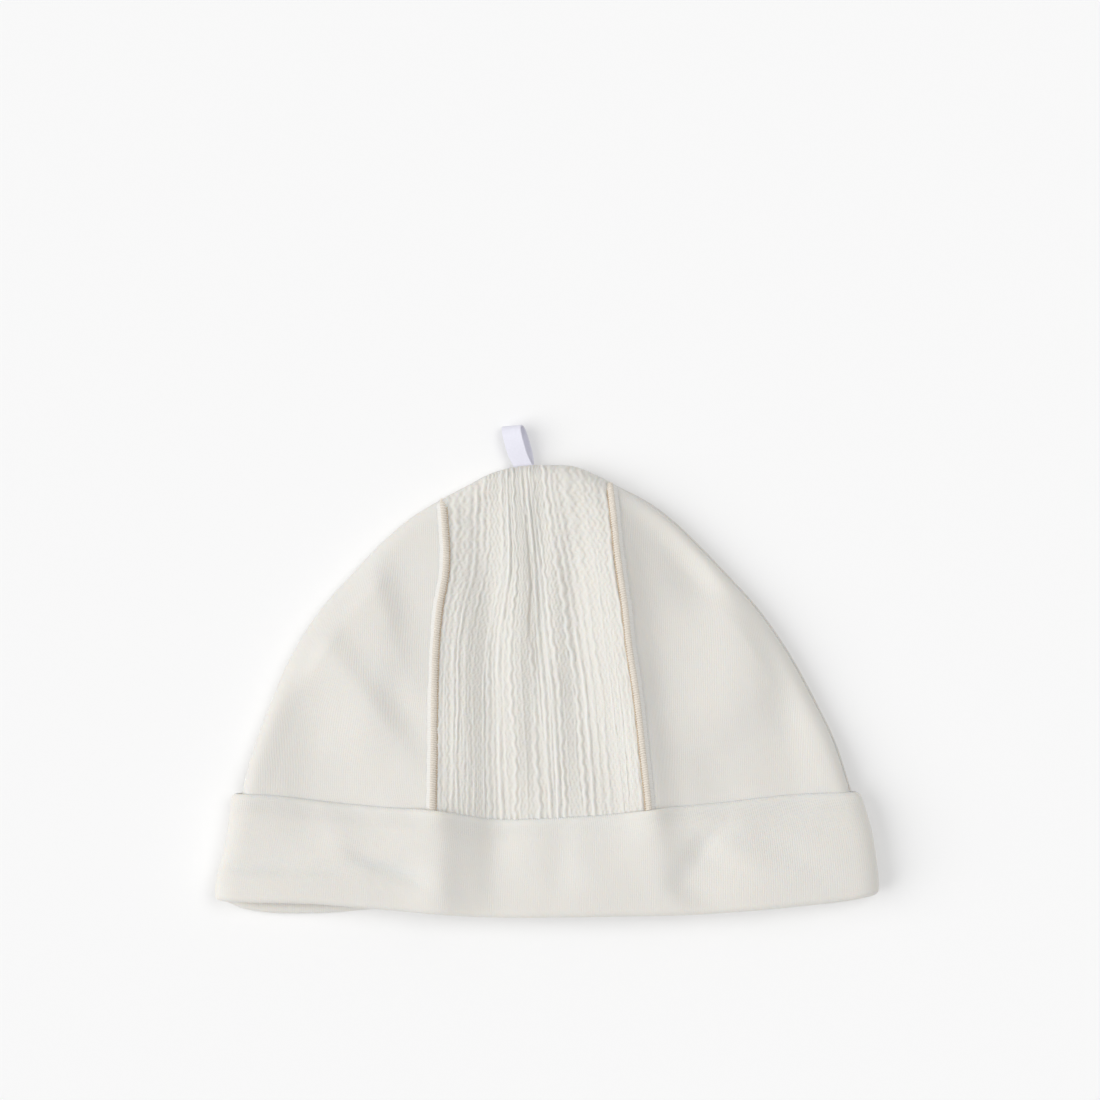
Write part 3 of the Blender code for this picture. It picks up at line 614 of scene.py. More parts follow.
    def crown_back(self, x, y):
        """Height of the crown's outer face behind, which lies on the floor above the cuff."""
        return self.rim_height(y) - EDGE_ROUND * rounded(self.edge_distance(x, y) / EDGE_REACH)


def shares_along(count, reach, at_start=False, at_end=False):
    """Shares of a line and how far each is curled under, where an end meets the rounded edge."""
    angles = np.linspace(0, np.pi / 2, ROUND_STEPS + 1)[:-1]
    curled = [CURL_INSET / EDGE_REACH * reach, CURL_INSET / 2 / EDGE_REACH * reach]
    closing = curled + [reach * (1 - np.cos(angle)) for angle in angles]
    drops = [CURL_DROP, CURL_DROP * 0.7] + [0.0] * len(angles)
    low = reach if at_start else 0 * reach
    high = 1 - reach if at_end else 1 + 0 * reach
    inner = count - len(closing) * (at_start + at_end)
    shares = [low + k / inner * (high - low) for k in range(inner + 1)]
    under = [0.0] * (inner + 1)
    if at_start:
        shares, under = closing + shares, drops + under
    if at_end:
        shares, under = shares + [1 - share for share in closing[::-1]], under + drops[::-1]
    return np.stack(shares), np.array(under)


def patch(left, right, bottom, top):
    """A patch between four edges that meet at its corners, each giving (x, y) for shares from 0 to 1."""

    def at(s, t):
        corners = [np.array(edge(end)) for edge in (bottom, top) for end in (0.0, 1.0)]
        place = []
        for k in range(2):
            ruled = (1 - t) * bottom(s)[k] + t * top(s)[k] + (1 - s) * left(t)[k] + s * right(t)[k]
            low = (1 - s) * corners[0][k] + s * corners[1][k]
            high = (1 - s) * corners[2][k] + s * corners[3][k]
            place.append(ruled - (1 - t) * low - t * high)
        return place[0], place[1]

    return at


def point_line(point):
    return lambda share: (point[0] + 0 * share, point[1] + 0 * share)


def rim_line(form, start, end):
    return lambda share: form.rim_at(start + share * (end - start))


def tuck_line(form, x0, x1, edge):
    """The lower edge of a panel, inside the cuff, between two places across."""

    def at(share):
        x = x0 + share * (x1 - x0)
        return x, form.edge(edge, form.across_of(x)) - CROWN_TUCK

    return at


def seam_line(form, side, y0, y1, offset):
    """A panel's edge beside a seam, held off the seam's line by offset."""

    def at(share):
        y = y0 + share * (y1 - y0)
        return form.seam_x(y, side) + offset, y

    return at


def panel_grid(shape, columns, rows, left_edge, right_edge):
    """Plan positions of a panel's vertices, and how far each is curled under at the outline."""
    width = np.hypot(*(np.array(shape(1.0, 0.0)) - np.array(shape(0.0, 0.0))))
    shares, across_drop = shares_along(columns, EDGE_REACH / width, left_edge, right_edge)
    low = np.stack(shape(shares, np.zeros(columns + 1)))
    high = np.stack(shape(shares, np.ones(columns + 1)))
    reach = np.minimum(EDGE_REACH / np.maximum(np.hypot(*(high - low)), 1e-6), 0.5)
    levels, up_drop = shares_along(rows, reach, at_end=True)
    grid = [shape(shares, level) for level in levels]
    drop = np.maximum(up_drop[:, None], across_drop[None, :])
    return np.stack([g[0] for g in grid]), np.stack([g[1] for g in grid]), drop


def lay_grid(bm, points):
    """Adds faces through a grid of points, and gives the row and column of each vertex."""
    rows, columns = points.shape[0] - 1, points.shape[1] - 1
    place = {}
    for vertex in bmesh.ops.create_grid(bm, x_segments=columns, y_segments=rows, size=0.5)["verts"]:
        i, j = round((vertex.co.x + 0.5) * columns), round((vertex.co.y + 0.5) * rows)
        place[vertex] = (j, i)
        vertex.co = points[j, i]
    return place


def finished_mesh(name, bm):
    """A smooth mesh with what has been built, which is then let go."""
    mesh = bpy.data.meshes.new(name)
    bm.to_mesh(mesh)
    bm.free()
    mesh.shade_smooth()
    return mesh


def cloth_mesh(name, points, uv, relief=None, closed=False):
    """A mesh through a grid of points, by row and column, with its weave laid out in metres."""
    bm = bmesh.new()
    weave = bm.loops.layers.uv.new("weave")
    height = bm.verts.layers.float.new("relief")
    place = lay_grid(bm, points)
    for vertex in bm.verts:
        vertex[height] = 0.0 if relief is None else relief[place[vertex]]
    for face in bm.faces:
        for loop in face.loops:
            loop[weave].uv = uv[place[loop.vert]]
    bmesh.ops.remove_doubles(bm, verts=bm.verts, dist=CLOTH_WELD)
    if closed:
        bmesh.ops.recalc_face_normals(bm, faces=bm.faces)
        if bm.calc_volume(signed=True) < 0:
            bmesh.ops.reverse_faces(bm, faces=bm.faces)
    return finished_mesh(name, bm)


def add_piece(mesh, finish, slot, *nodes):
    """Puts a finished piece on the cap, named as its mesh, standing for the solids that are named."""
    mesh.materials.append(finish)
    piece = bpy.data.objects.new(mesh.name, mesh)
    bpy.context.scene.collection.objects.link(piece)
    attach(piece, "root")
    if nodes:
        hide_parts(*nodes)
    return piece


def thicken(piece, wall):
    """Gives a sheet its thickness inwards."""
    solid = piece.modifiers.new("cloth", "SOLIDIFY")
    solid.thickness = wall
    solid.offset = -1


def plan_weave(form, x, y, z, top):
    """Weave coordinates of a panel: its plan, carried on down over the rounded edge."""
    away = np.stack([x, y - form.corner_y], 2)
    away = away / np.maximum(np.sqrt((away**2).sum(2, keepdims=True)), 1e-6)
    return np.stack([x, y], 2) + away * (top - z)[..., None]


def side_panel(form, side):
    """One plain front panel, from the outline to a seam."""
    left = side == "left"
    offset = OUTWARD[side] * SEAM_SLIT
    crossing = form.share_at_seam(side, offset)
    corner_y = float(form.edge("front_top", OUTWARD[side])) - CROWN_TUCK
    low = form.share_at_height(corner_y, side)
    corner_x = float(form.rim_at(low)[0])
    seam_x = float(form.seam_x(corner_y, side)) + offset
    seam_y = float(form.edge("front_top", form.across_of(seam_x))) - CROWN_TUCK
    seam_x = float(form.seam_x(seam_y, side)) + offset
    corner = point_line((corner_x, corner_y))
    inner = seam_line(form, side, seam_y, float(form.rim_at(crossing)[1]), offset)
    if left:
        bottom = tuck_line(form, corner_x, seam_x, "front_top")
        shape = patch(corner, inner, bottom, rim_line(form, low, crossing))
    else:
        bottom = tuck_line(form, seam_x, corner_x, "front_top")
        shape = patch(inner, corner, bottom, rim_line(form, crossing, low))
    x, y, drop = panel_grid(shape, SIDE_COLUMNS, SIDE_ROWS, left, not left)
    level = form.crown_front(x, y)
    z = np.where(drop > 0, form.rim_height(y) - drop, level) + RIM_LIP
    swell = form.rim_height(y) + EDGE_ROUND + form.s.crown_loft
    return cloth_mesh(f"{side}_panel_jersey", np.stack([x, y, z], 2), plan_weave(form, x, y, z, swell))


def fine_ribs():
    """The ribs too fine to place by hand, the same each run."""
    draw = np.random.default_rng(71)
    strays = draw.uniform(FINE_FROM.across, FINE_TO.across, FINE_RIBS)
    ranges = list(zip(FINE_FROM, FINE_TO))[1:]
    places = np.linspace(0.01, 0.99, FINE_RIBS) + strays
    return [RibRow(place, *(draw.uniform(low, high) for low, high in ranges)) for place in places]


def gauze_relief(form, across, x, y, width):
    """Relief of the crinkled gauze: gathered ribs over a ground of fine zigzag lines."""
    up = (y - form.corner_y) / form.s.crown_rise
    gather = bell((across - GATHER_AT) / GATHER_REACH) * ease((up - GATHER_FROM) / (1 - GATHER_FROM))
    share = GATHER_AT + (across - GATHER_AT) * (1 + gather)
    denser = ease((up - GATHER_FROM) / DENSER_REACH)
    ribs, furrows = np.zeros(np.shape(x)), np.zeros(np.shape(x))
    for k, row in enumerate(RIBS + fine_ribs()):
        stray, slow = wander(100 + k, STRAY_STEP), wander(200 + k, SLOW_STEP)
        swell = wander(300 + k, SWELL_STEP)
        phase = 2 * np.pi * y / (row.period * MM) + 2.2 * slow(y)
        sway = RIB_SWAY * row.sway * MM * (0.75 * np.sin(phase) + 0.55 * stray(y))
        sway = sway * (1 + DENSER_SWAY * denser)
        sway = sway + RIB_DRIFT * slow(y + 0.05)
        half = (RIB_WIDTH + DENSER_WIDTH * denser) * row.width * MM
        beside = ((share - row.across) * width - sway) / half
        rise = row.height * MM * (0.8 + 0.35 * swell(y) + 0.2 * slow(y - 0.03))
        if k >= len(RIBS):
            rise = rise * (1 - FINE_RIB_LOSS * denser)
        ribs = np.maximum(ribs, rise * bell(beside))
        beyond = [bell((beside - side * FURROW_AT) / FURROW_WIDTH) for side in (1, -1)]
        furrows = np.maximum(furrows, FURROW_DEPTH * rise * (beyond[0] + 0.5 * beyond[1]))
    drift = wander(400, 0.02)(x * 3 + y * 0.4)
    zigzag = ZIGZAG_SWAY * np.sin(2 * np.pi * y / ZIGZAG_PERIOD + 1.6 * drift)
    lines = np.cos(2 * np.pi * (share * width + zigzag) / form.s.crinkle_pitch)
    ground = LINE_HEIGHT * lines * (1 + 0.5 * denser)
    ground = ground * (1 - GROUND_LOSS * ease(ribs / GROUND_LOSS_AT))
    ground = ground + CRUMPLE_HEIGHT * mottle(21, CRUMPLE_STEP)(x, y)
    beside_seam = (0.5 - np.abs(across - 0.5)) * width
    hem = np.where(across < 0.5, HEM_LEFT, HEM_RIGHT) * MM * bell(beside_seam / HEM_WIDTH)
    crease = (share - GATHER_AT - PINCH_AT) * width - PINCH_STRAY * wander(500, PINCH_STEP)(y)
    begun = ease((up - PINCH_FROM) / PINCH_OVER)
    faded = 0.7 * ease((up - PINCH_FADE_FROM) / PINCH_FADE_OVER)
    pinch = PINCH_DEPTH * begun * (1 - faded) * bell(crease / PINCH_WIDTH)
    left_over = 1 - 0.8 * ease(pinch / (PINCH_DEPTH / 2))
    return RIB_RISE * ribs * left_over - furrows + ground + hem - pinch


def gauze_panel(form):
    """The crinkled panel between the two seams, from inside the cuff to the top."""
    shares = np.linspace(0, 1, GAUZE_COLUMNS + 1)

    def across(y):
        return form.seam_x(y, "left") + SEAM_SLIT, form.seam_x(y, "right") - SEAM_SLIT

    crossings = form.share_at_seam("left", SEAM_SLIT), form.share_at_seam("right", -SEAM_SLIT)
    rim_x, rim_y = form.rim_at(np.linspace(*crossings, OUTLINE_SAMPLES))
    left, right = across(rim_y)
    top_y = np.interp(shares, (rim_x - left) / (right - left), rim_y)
    left, right = across(form.corner_y - CROWN_TUCK)
    low_y = form.edge("front_top", form.across_of(left + shares * (right - left))) - CROWN_TUCK
    levels, under = shares_along(GAUZE_ROWS, EDGE_REACH / (top_y - low_y), at_end=True)
    y = low_y + levels * (top_y - low_y)
    left, right = across(y)
    share = shares + 0 * y
    x = left + share * (right - left)
    distance = form.edge_distance(x, y)
    relief = gauze_relief(form, share, x, y, right - left)
    level = form.crown_front(x, y)
    curled = under[:, None] > 0
    z = np.where(curled, form.rim_height(y) - under[:, None], level)
    raised = np.where(curled, 0.0, (relief - GAUZE_SINK) * ease(distance / (0.5 * MM)))
    sideways = raised * (1 - np.clip(distance / EDGE_REACH, 0, 1)) ** (EDGE_POWER - 1)
    outward = np.stack([x / (0.7 * form.s.crown_rise), np.ones(np.shape(x))], 2)
    outward = unit(outward) * sideways[..., None]
    swell = form.rim_height(y) + EDGE_ROUND + form.s.crown_loft
    lifted = z + RIM_LIP + raised * rounded(distance / EDGE_REACH)
    points = np.stack([x + outward[..., 0], y + outward[..., 1], lifted], 2)
    # The relief is stored on the mesh as well, for the painted light on the ribs and painted shade in
    # the furrows
    return cloth_mesh("front_panel_gauze", points, plan_weave(form, x, y, z, swell), relief / MM)


def back_panel(form):
    """The plain panel behind, its edge rounded up to meet the front panels."""
    heights = [float(form.edge("back_top", side)) - CROWN_TUCK for side in (-1, 1)]
    start, end = form.share_at_height(heights[0], "left"), form.share_at_height(heights[1], "right")
    corners = form.rim_at(start), form.rim_at(end)
    bottom = tuck_line(form, float(corners[0][0]), float(corners[1][0]), "back_top")
    shape = patch(point_line(corners[0]), point_line(corners[1]), bottom, rim_line(form, start, end))
    x, y, drop = panel_grid(shape, BACK_COLUMNS, BACK_ROWS, True, True)
    distance = form.edge_distance(x, y)
    rumple = mottle(31, BACK_RUMPLE_STEP)(x, y) * BACK_RUMPLE_HEIGHT * ease(distance / FOLD_FADE)
    level = form.crown_back(x, y) + np.abs(rumple)
    lip = RIM_LIP * (1 - rounded(distance / EDGE_REACH))
    z = np.where(drop > 0, form.rim_height(y) + drop, level) - lip + FLOOR_CLEARANCE
    peek = BACK_PEEK * ease((x - PEEK_FROM) / PEEK_OVER) * (1 - ease(distance / PEEK_REACH))
    points = np.stack([x + peek * 0.9, y + peek * 0.5, z], 2)
    weave = plan_weave(form, x, y, -z, 0 * z)
    return cloth_mesh("back_panel_jersey", points[:, ::-1], weave[:, ::-1])


def cuff_profile(form):
    """The band's closed section: rows of its part, share along that, extra along Y and face offset."""
    wall, lift, inset = CUFF_WALL, form.cuff_lift, form.lining_inset
    radius, centre = (lift + inset) / 2, (lift - inset) / 2
    rows = []

    def add(base, share, extra, face):
        rows.append((base, share, extra, face))

    for t in np.linspace(0, 1, OUTER_STEPS)[:-1]:
        add("outer", t, 0.0, lift)
    for t in np.linspace(0, 1, MOUTH_STEPS)[:-1]:
        add("mouth", 0, -radius * np.sin(np.pi * t), centre + radius * np.cos(np.pi * t))
    for t in np.linspace(0, 1, LINING_STEPS)[:-1]:
        add("lining", t, 0.0, -inset)
    for t in np.linspace(0, 1, HEM_STEPS)[:-1]:
        add("lining", 1, wall / 2 * np.sin(np.pi * t), -inset + wall / 2 * (1 - np.cos(np.pi * t)))
    for t in np.linspace(1, 0, HIDDEN_STEPS)[:-1]:
        add("lining", t, 0.0, -inset + wall)
    for t in np.linspace(1, 0, HIDDEN_STEPS)[:-1]:
        within = radius - wall
        add("mouth", 0, -within * np.sin(np.pi * t), centre + within * np.cos(np.pi * t))
    for t in np.linspace(1, 0, UNDER_STEPS)[:-1]:
        add("outer", t, 0.0, lift - wall - (CUFF_DOUBLED_WALL - wall) * (1 - t))
    for angle in np.linspace(0, np.pi / 2, TOP_STEPS):
        add("outer", 0, CUFF_TOP_ROUND * np.cos(angle), lift - CUFF_DOUBLED_WALL * (1 - np.sin(angle)))
    return rows


def cuff_band(form):
    """The doubled band turned up round the mouth: one closed ring of cloth."""
    turn = 1 - np.cos(np.linspace(0, np.pi / 2, ROUND_STEPS + 1))
    middle = np.concatenate([0 * turn[:-1], np.linspace(0, 1, CUFF_COLUMNS + 1), 1 + 0 * turn[:-1]])
    turned = np.concatenate([turn[:-1], np.ones(CUFF_COLUMNS + 1), turn[-2::-1]])
    back = np.linspace(1, 0, CUFF_BACK_COLUMNS + 1)
    behind = np.concatenate([1 + 0 * turn[1:-1], back, 0 * turn[:-1]])
    behind_turned = np.concatenate([turn[1:-1], np.ones(CUFF_BACK_COLUMNS + 1), turn[-2::-1]])
    front = np.concatenate([np.ones(len(middle), bool), np.zeros(len(behind), bool)])
    middle, turned = np.concatenate([middle, behind]), np.concatenate([turned, behind_turned])
    inward = 2 * (EDGE_REACH + form.cuff_inset) * turned / form.s.cuff_lower_width
    across = (2 * middle - 1) * (1 - inward)
    top = np.where(front, form.edge("front_top", across), form.edge("back_top", across)) - CUFF_TOP_ROUND
    lip = np.where(front, form.edge("front_lip", across), form.edge("back_lip", across))
    radius = (form.cuff_lift + form.lining_inset) / 2
    over_seams = 0
    for side in ("left", "right"):
        aside = across * form.s.cuff_upper_width / 2 - form.seam_x(form.corner_y, side)
        over_seams = over_seams + bell(aside / CUFF_FLARE_WIDTH)
    rings = []
    for base, share, extra, face in cuff_profile(form):
        if base == "outer":
            y = top + share * (lip + radius - top)
        elif base == "mouth":
            y = lip + radius
        else:
            y = lip + radius + share * (form.s.lining_height - radius)
        y = y + extra
        outerness = (face + form.lining_inset) / (form.cuff_lift + form.lining_inset)
        aside = face + outerness * CUFF_SIDE_EASE
        reach = EDGE_REACH + aside
        left = form.cuff_side(y, "left") + form.cuff_inset - aside
        right = form.cuff_side(y, "right") - form.cuff_inset + aside
        x = left + middle * (right - left) + reach * turned * (1 - 2 * middle)
        arch = rounded(np.minimum(x - left, right - x) / reach)
        inside = np.clip(x, left + aside, right - aside)
        raised = form.loft(inside, y, form.edge_distance(inside, y))
        raised = raised + outerness * RIM_LIP * np.minimum(1, 2 * arch)
        raised = raised + outerness**4 * arch * form.fold_heights(CREASES, x, y)
        settle = CUFF_SETTLE * ease(1 - (top - y) / CUFF_SETTLE_REACH)
        flare = CUFF_FLARE * np.maximum(0, 1 - (top - y) / CUFF_FLARE_REACH) ** 2 * over_seams - settle
        flare = flare * (base == "outer")
        rim = form.cuff_lift + EDGE_ROUND
        z_front = rim + (EDGE_ROUND + face + flare) * arch + raised
        z_back = rim - (EDGE_ROUND + face - FLOOR_CLEARANCE) * arch
        rings.append(np.stack([x, y, np.where(front, z_front, z_back)], 1))
    rings = np.array(rings + rings[:1])
    rings = np.concatenate([rings, rings[:, :1]], 1)
    around = run_of(rings[0])
    down = np.concatenate([[0.0], np.cumsum(np.sqrt((np.diff(rings, axis=0) ** 2).sum(2)).mean(1))])
    return cloth_mesh("cuff_jersey", rings, weave_over(around, down), closed=True)


def seam_path(form, side):
    """Line of a seam along the top of its ridge, from under the cuff up over the rim."""
    top = form.rim_at(form.share_at_seam(side))[1]
    low = float(form.edge("front_top", form.across_of(form.seam_x(form.corner_y, side)))) - SEAM_TUCK
    close = EDGE_REACH * (1 - np.cos(np.linspace(np.pi / 2, SEAM_END, 20)))
    y = np.concatenate([np.linspace(low, float(top) - EDGE_REACH, 160)[:-1], float(top) - close])
    x = form.seam_x(y, side)
    sunk = SEAM_SINK * form.s.seam_height * ease(1 - (float(top) - y) / EDGE_REACH)
    return resample(np.stack([x, y - sunk, form.crown_front(x, y) + RIM_LIP], 1), SEAM_STEP)


def frames_along(path):
    """Sideways and upward directions along a line."""
    along = unit(np.gradient(path, axis=0))
    side = unit(np.cross(along, [0, 0, 1.0]))
    return side, np.cross(side, along)


def tube_points(path, radius, sides):
    """Rings of points round a line, drawn to a point at both ends."""
    side, up = frames_along(path)
    angle = np.linspace(0, 2 * np.pi, sides + 1)
    radius = np.broadcast_to(radius, len(path)).copy()
    radius[[0, -1]] = 0
    ring = np.cos(angle)[None, :, None] * side[:, None] + np.sin(angle)[None, :, None] * up[:, None]
    return path[:, None] + radius[:, None, None] * ring


def seam_section(form, t):
    """A seam's outer face, from its steep foot beside the gauze at -1 down to the jersey at 1."""
    t = np.asarray(t, float)
    half, rise = form.s.seam_width / 2, form.s.seam_height
    wide = half * np.where(t < 0, FLANK_GAUZE * t, FLANK_JERSEY * t)
    high = rise * np.where(t < 0, quarter(1 + t), np.cos(np.pi / 2 * np.clip(t, 0, 1)) ** 1.4)
    return wide, high


def seam_ridge(form, side):
    """The raised seam itself: the panels' folded edges, which the jersey eases up to."""
    path = seam_path(form, side)
    across, up = frames_along(path)
    wide, high = seam_section(form, np.linspace(-1, 1, 19))
    wide = np.concatenate([wide, 0.9 * wide[::-2], wide[:1]])
    high = np.concatenate([high - RIDGE_FOOT, 0 * high[::-2] - RIDGE_UNDER, high[:1] - RIDGE_FOOT])
    run = run_of(path)
    closing = quarter(run / RIDGE_CLOSE_LOW) * quarter((run[-1] - run) / RIDGE_CLOSE_TOP)
    swell = 1 + RIDGE_SWELL * wander(51 if side == "left" else 52, RIDGE_SWELL_STEP)(run)
    scale = (closing * swell)[:, None, None]
    aside = OUTWARD[side] * wide[None, :, None] * across[:, None]
    points = path[:, None] + scale * (aside + high[None, :, None] * up[:, None])
    place = np.clip(wide / form.s.seam_width, -0.5, 1)
    return cloth_mesh(f"{side}_seam_ridge", points, weave_over(place, run), closed=True)


def join_tubes(name, tubes):
    """One mesh of many small tubes."""
    bm = bmesh.new()
    weave = bm.loops.layers.uv.new("weave")
    for points in tubes:
        place = lay_grid(bm, points)
        run = run_of(points.mean(1))
        for face in {face for vertex in place for face in vertex.link_faces}:
            for loop in face.loops:
                row, column = place[loop.vert]
                loop[weave].uv = (column / (points.shape[1] - 1), run[row])
        bmesh.ops.remove_doubles(bm, verts=list(place), dist=TUBE_WELD)
    bmesh.ops.recalc_face_normals(bm, faces=bm.faces)
    return finished_mesh(name, bm)


def seam_stitches(form, side):
    """The overlock stitches over a ridge: one loop of thread for each, leaning a little up the seam."""
    path = resample(seam_path(form, side), form.s.stitch_pitch)[1:-1]
    across, up = frames_along(path)
    wide, high = seam_section(form, STITCH_PLACES)
    high = high + form.s.thread_width * 0.15
    lean = np.linspace(-0.5, 0.5, len(wide))
    draw = np.random.default_rng(61 if side == "left" else 62)
    tubes = []
    for k in range(len(path)):
        slant = form.s.stitch_pitch * (STITCH_SLANT + STITCH_STRAY * draw.standard_normal())
        reach = OUTWARD[side] * (1 + 0.03 * draw.standard_normal())
        along = np.cross(up[k], across[k])
        line = path[k] + reach * wide[:, None] * across[k] + high[:, None] * up[k]
        line = line + along * (slant * lean)[:, None]
        tubes.append(tube_points(line, form.s.thread_width / 2, TUBE_SIDES))
    return join_tubes(f"{side}_seam_stitches", tubes)


def seam_edging(form, side):
    """The darker thread that runs along a seam's foot, on the gauze's side, and locks its stitches."""
    path = seam_path(form, side)[2:-2]
    across, up = frames_along(path)
    run = run_of(path)
    wave = EDGING_WAVE * np.sin(2 * np.pi * run / form.s.stitch_pitch)
    out = wave - OUTWARD[side] * (form.s.seam_width / 2 + EDGING_OUT)
    line = resample(path + out[:, None] * across + EDGING_UP * up, form.s.stitch_pitch / 4)
    tube = tube_points(line, EDGING_THICKNESS * form.s.thread_width / 2, TUBE_SIDES)
    return join_tubes(f"{side}_seam_edging", [tube])


def ribbon_loop(form):
    """The hanging loop: a ribbon that leaves the top seam, doubles over and comes back under itself."""
    s = form.s
    under = np.abs(form.rim[:, 0] - s.loop_across) < s.ribbon_width
    base_y = form.rim[under, 1].max() - RIBBON_TUCK
    angle = np.linspace(-np.pi / 2, np.pi / 2, RIBBON_ROWS)
    strip = np.sign(angle)
    along = np.cos(angle) ** 0.8
    swell = RIBBON_APART + RIBBON_SWELL * np.sin(np.pi * along / 2) ** 1.3
    swell = swell * np.sqrt(1 - along**6)
    apart = np.sqrt(1 - along**8) * np.sin(np.pi * np.minimum(along, 0.5))
    spread = RIBBON_SPREAD * s.ribbon_width * apart
    total = s.loop_length + RIBBON_TUCK
    middle = s.loop_across - RIBBON_LEAN * total * along + spread * strip
    twist = np.radians(RIBBON_TWIST) * along**0.8
    side = s.ribbon_width * np.linspace(-0.5, 0.5, RIBBON_COLUMNS)[:, None]
    x = middle + side * np.cos(twist)
    y = base_y + total * along + side * np.sin(twist) / 4
    z = EDGE_ROUND - swell * strip + side * np.sin(twist)
    points = np.stack([x, y, z], 2).transpose(1, 0, 2)
    weave = weave_over(side[:, 0], run_of(points[:, RIBBON_COLUMNS // 2]))
    return cloth_mesh("ribbon_loop_satin", points, weave)


class Shader:
    """A material's nodes, made one call at a time."""

    def __init__(self, name):
        self.material = bpy.data.materials.new(name)
        self.material.use_nodes = True
        self.tree = self.material.node_tree
        self.surface = self.tree.nodes["Principled BSDF"]

    def node(self, kind, inputs=(), **settings):
        made = self.tree.nodes.new(kind)
        for name, value in settings.items():
            setattr(made, name, value)
        for key, value in dict(inputs).items():
            self.plug(made.inputs[key], value)
        return made

    def plug(self, socket, value):
        if isinstance(value, bpy.types.NodeSocket):
            self.tree.links.new(value, socket)
        else:
            socket.default_value = value

    def maths(self, operation, a, b=0.0, c=0.0):
        return self.node("ShaderNodeMath", {0: a, 1: b, 2: c}, operation=operation).outputs[0]

    def scaled(self, a, factor, more):
        """a times factor, plus more."""
        return self.maths("MULTIPLY_ADD", a, factor, more)

    def noise(self, vector, scale, detail=3.0, roughness=0.55):
        """Random lumps, scale of them to a metre."""
        inputs = {"Vector": vector, "Scale": scale, "Detail": detail, "Roughness": roughness}
        return self.node("ShaderNodeTexNoise", inputs).outputs["Fac"]

    def weave(self):
        return self.node("ShaderNodeUVMap", uv_map="weave").outputs[0]

    def parts(self, vector):
        made = self.node("ShaderNodeSeparateXYZ", {0: vector})
        return made.outputs[0], made.outputs[1]

    def stripes(self, place, pitch, shift=0.0):
        """Waves from 0 to 1 across a place, one to each pitch."""
        return self.waves(self.scaled(place, 2 * np.pi / pitch, shift))

    def waves(self, turn):
        return self.scaled(self.maths("SINE", turn), 0.5, 0.5)

    def blend(self, share, low, high):
        made = self.node("ShaderNodeMix", data_type="RGBA")
        self.plug(made.inputs[0], share)
        for socket, tint in ((made.inputs[6], low), (made.inputs[7], high)):
            self.plug(socket, (*tint, 1) if isinstance(tint, tuple) else tint)
        return made.outputs[2]

    def bump(self, height, distance, strength=1.0, normal=None):
        inputs = {"Height": height, "Distance": distance, "Strength": strength}
        made = self.node("ShaderNodeBump", inputs)
        if normal is not None:
            self.plug(made.inputs["Normal"], normal)
        return made.outputs[0]

    def soften(self):
        """Lets some light pass through the cloth, warmer as it goes deeper."""
        self.surface.inputs["Subsurface Weight"].default_value = 0.4
        self.surface.inputs["Subsurface Radius"].default_value = (1.0, 0.75, 0.55)
        self.surface.inputs["Subsurface Scale"].default_value = 0.0012

    def finish(self, base, normal, roughness, sheen=0.0, specular=0.3):
        self.plug(self.surface.inputs["Base Color"], base)
        self.plug(self.surface.inputs["Normal"], normal)
        self.surface.inputs["Roughness"].default_value = roughness
        self.surface.inputs["Sheen Weight"].default_value = sheen
        self.surface.inputs["Sheen Roughness"].default_value = 0.5
        self.surface.inputs["Specular IOR Level"].default_value = specular
        return self.material


def shade(base, factor):
    return tuple(channel * factor for channel in base)


def jersey_finish(sizes, colours):
    """Fine interlock jersey: narrow wales of V-shaped stitches, with a soft fuzz and uneven tone, and
    painted shade in the hollows between the wales and stitches. The panels and the cuff share it.
    """
    if "jersey_knit" in bpy.data.materials:
        return bpy.data.materials["jersey_knit"]
    s = Shader("jersey_knit")
    weave = s.weave()
    u, v = s.parts(weave)
    stray = s.scaled(s.noise(weave, 160.0), 0.0004, -0.0002)
    u = s.maths("ADD", u, stray)
    wale = s.stripes(u, sizes.wale_pitch)
    fold = s.maths("PINGPONG", s.maths("DIVIDE", u, sizes.wale_pitch), 0.5)
    slant = s.maths("MULTIPLY", fold, 2 * np.pi * 0.9)
    turn = s.scaled(v, 2 * np.pi / sizes.course_pitch, slant)
    stitch = s.waves(turn)
    knit = s.scaled(stitch, 0.25, s.maths("MULTIPLY", wale, 0.75))
    fuzz = s.noise(weave, 2600.0, 2.0)
    height = s.scaled(fuzz, 0.5, knit)
    # Random uneven tone, plus painted shade where the knit lies low, between the wales and stitches
    tone_and_shade = s.scaled(s.noise(weave, 45.0, 4.0), 0.72, s.maths("MULTIPLY", knit, 0.28))
    tints = []
    for tint in ((1.005, 0.985, 0.955), (0.985, 0.990, 0.995)):
        own = tuple(a * b for a, b in zip(colours.jersey, tint))
        tints.append(s.blend(tone_and_shade, shade(own, 0.94), shade(own, 1.03)))
    base = s.blend(s.noise(weave, 55.0, 3.0), *tints)
    s.soften()
    return s.finish(base, s.bump(height, 0.00010, 0.6), **COTTON)


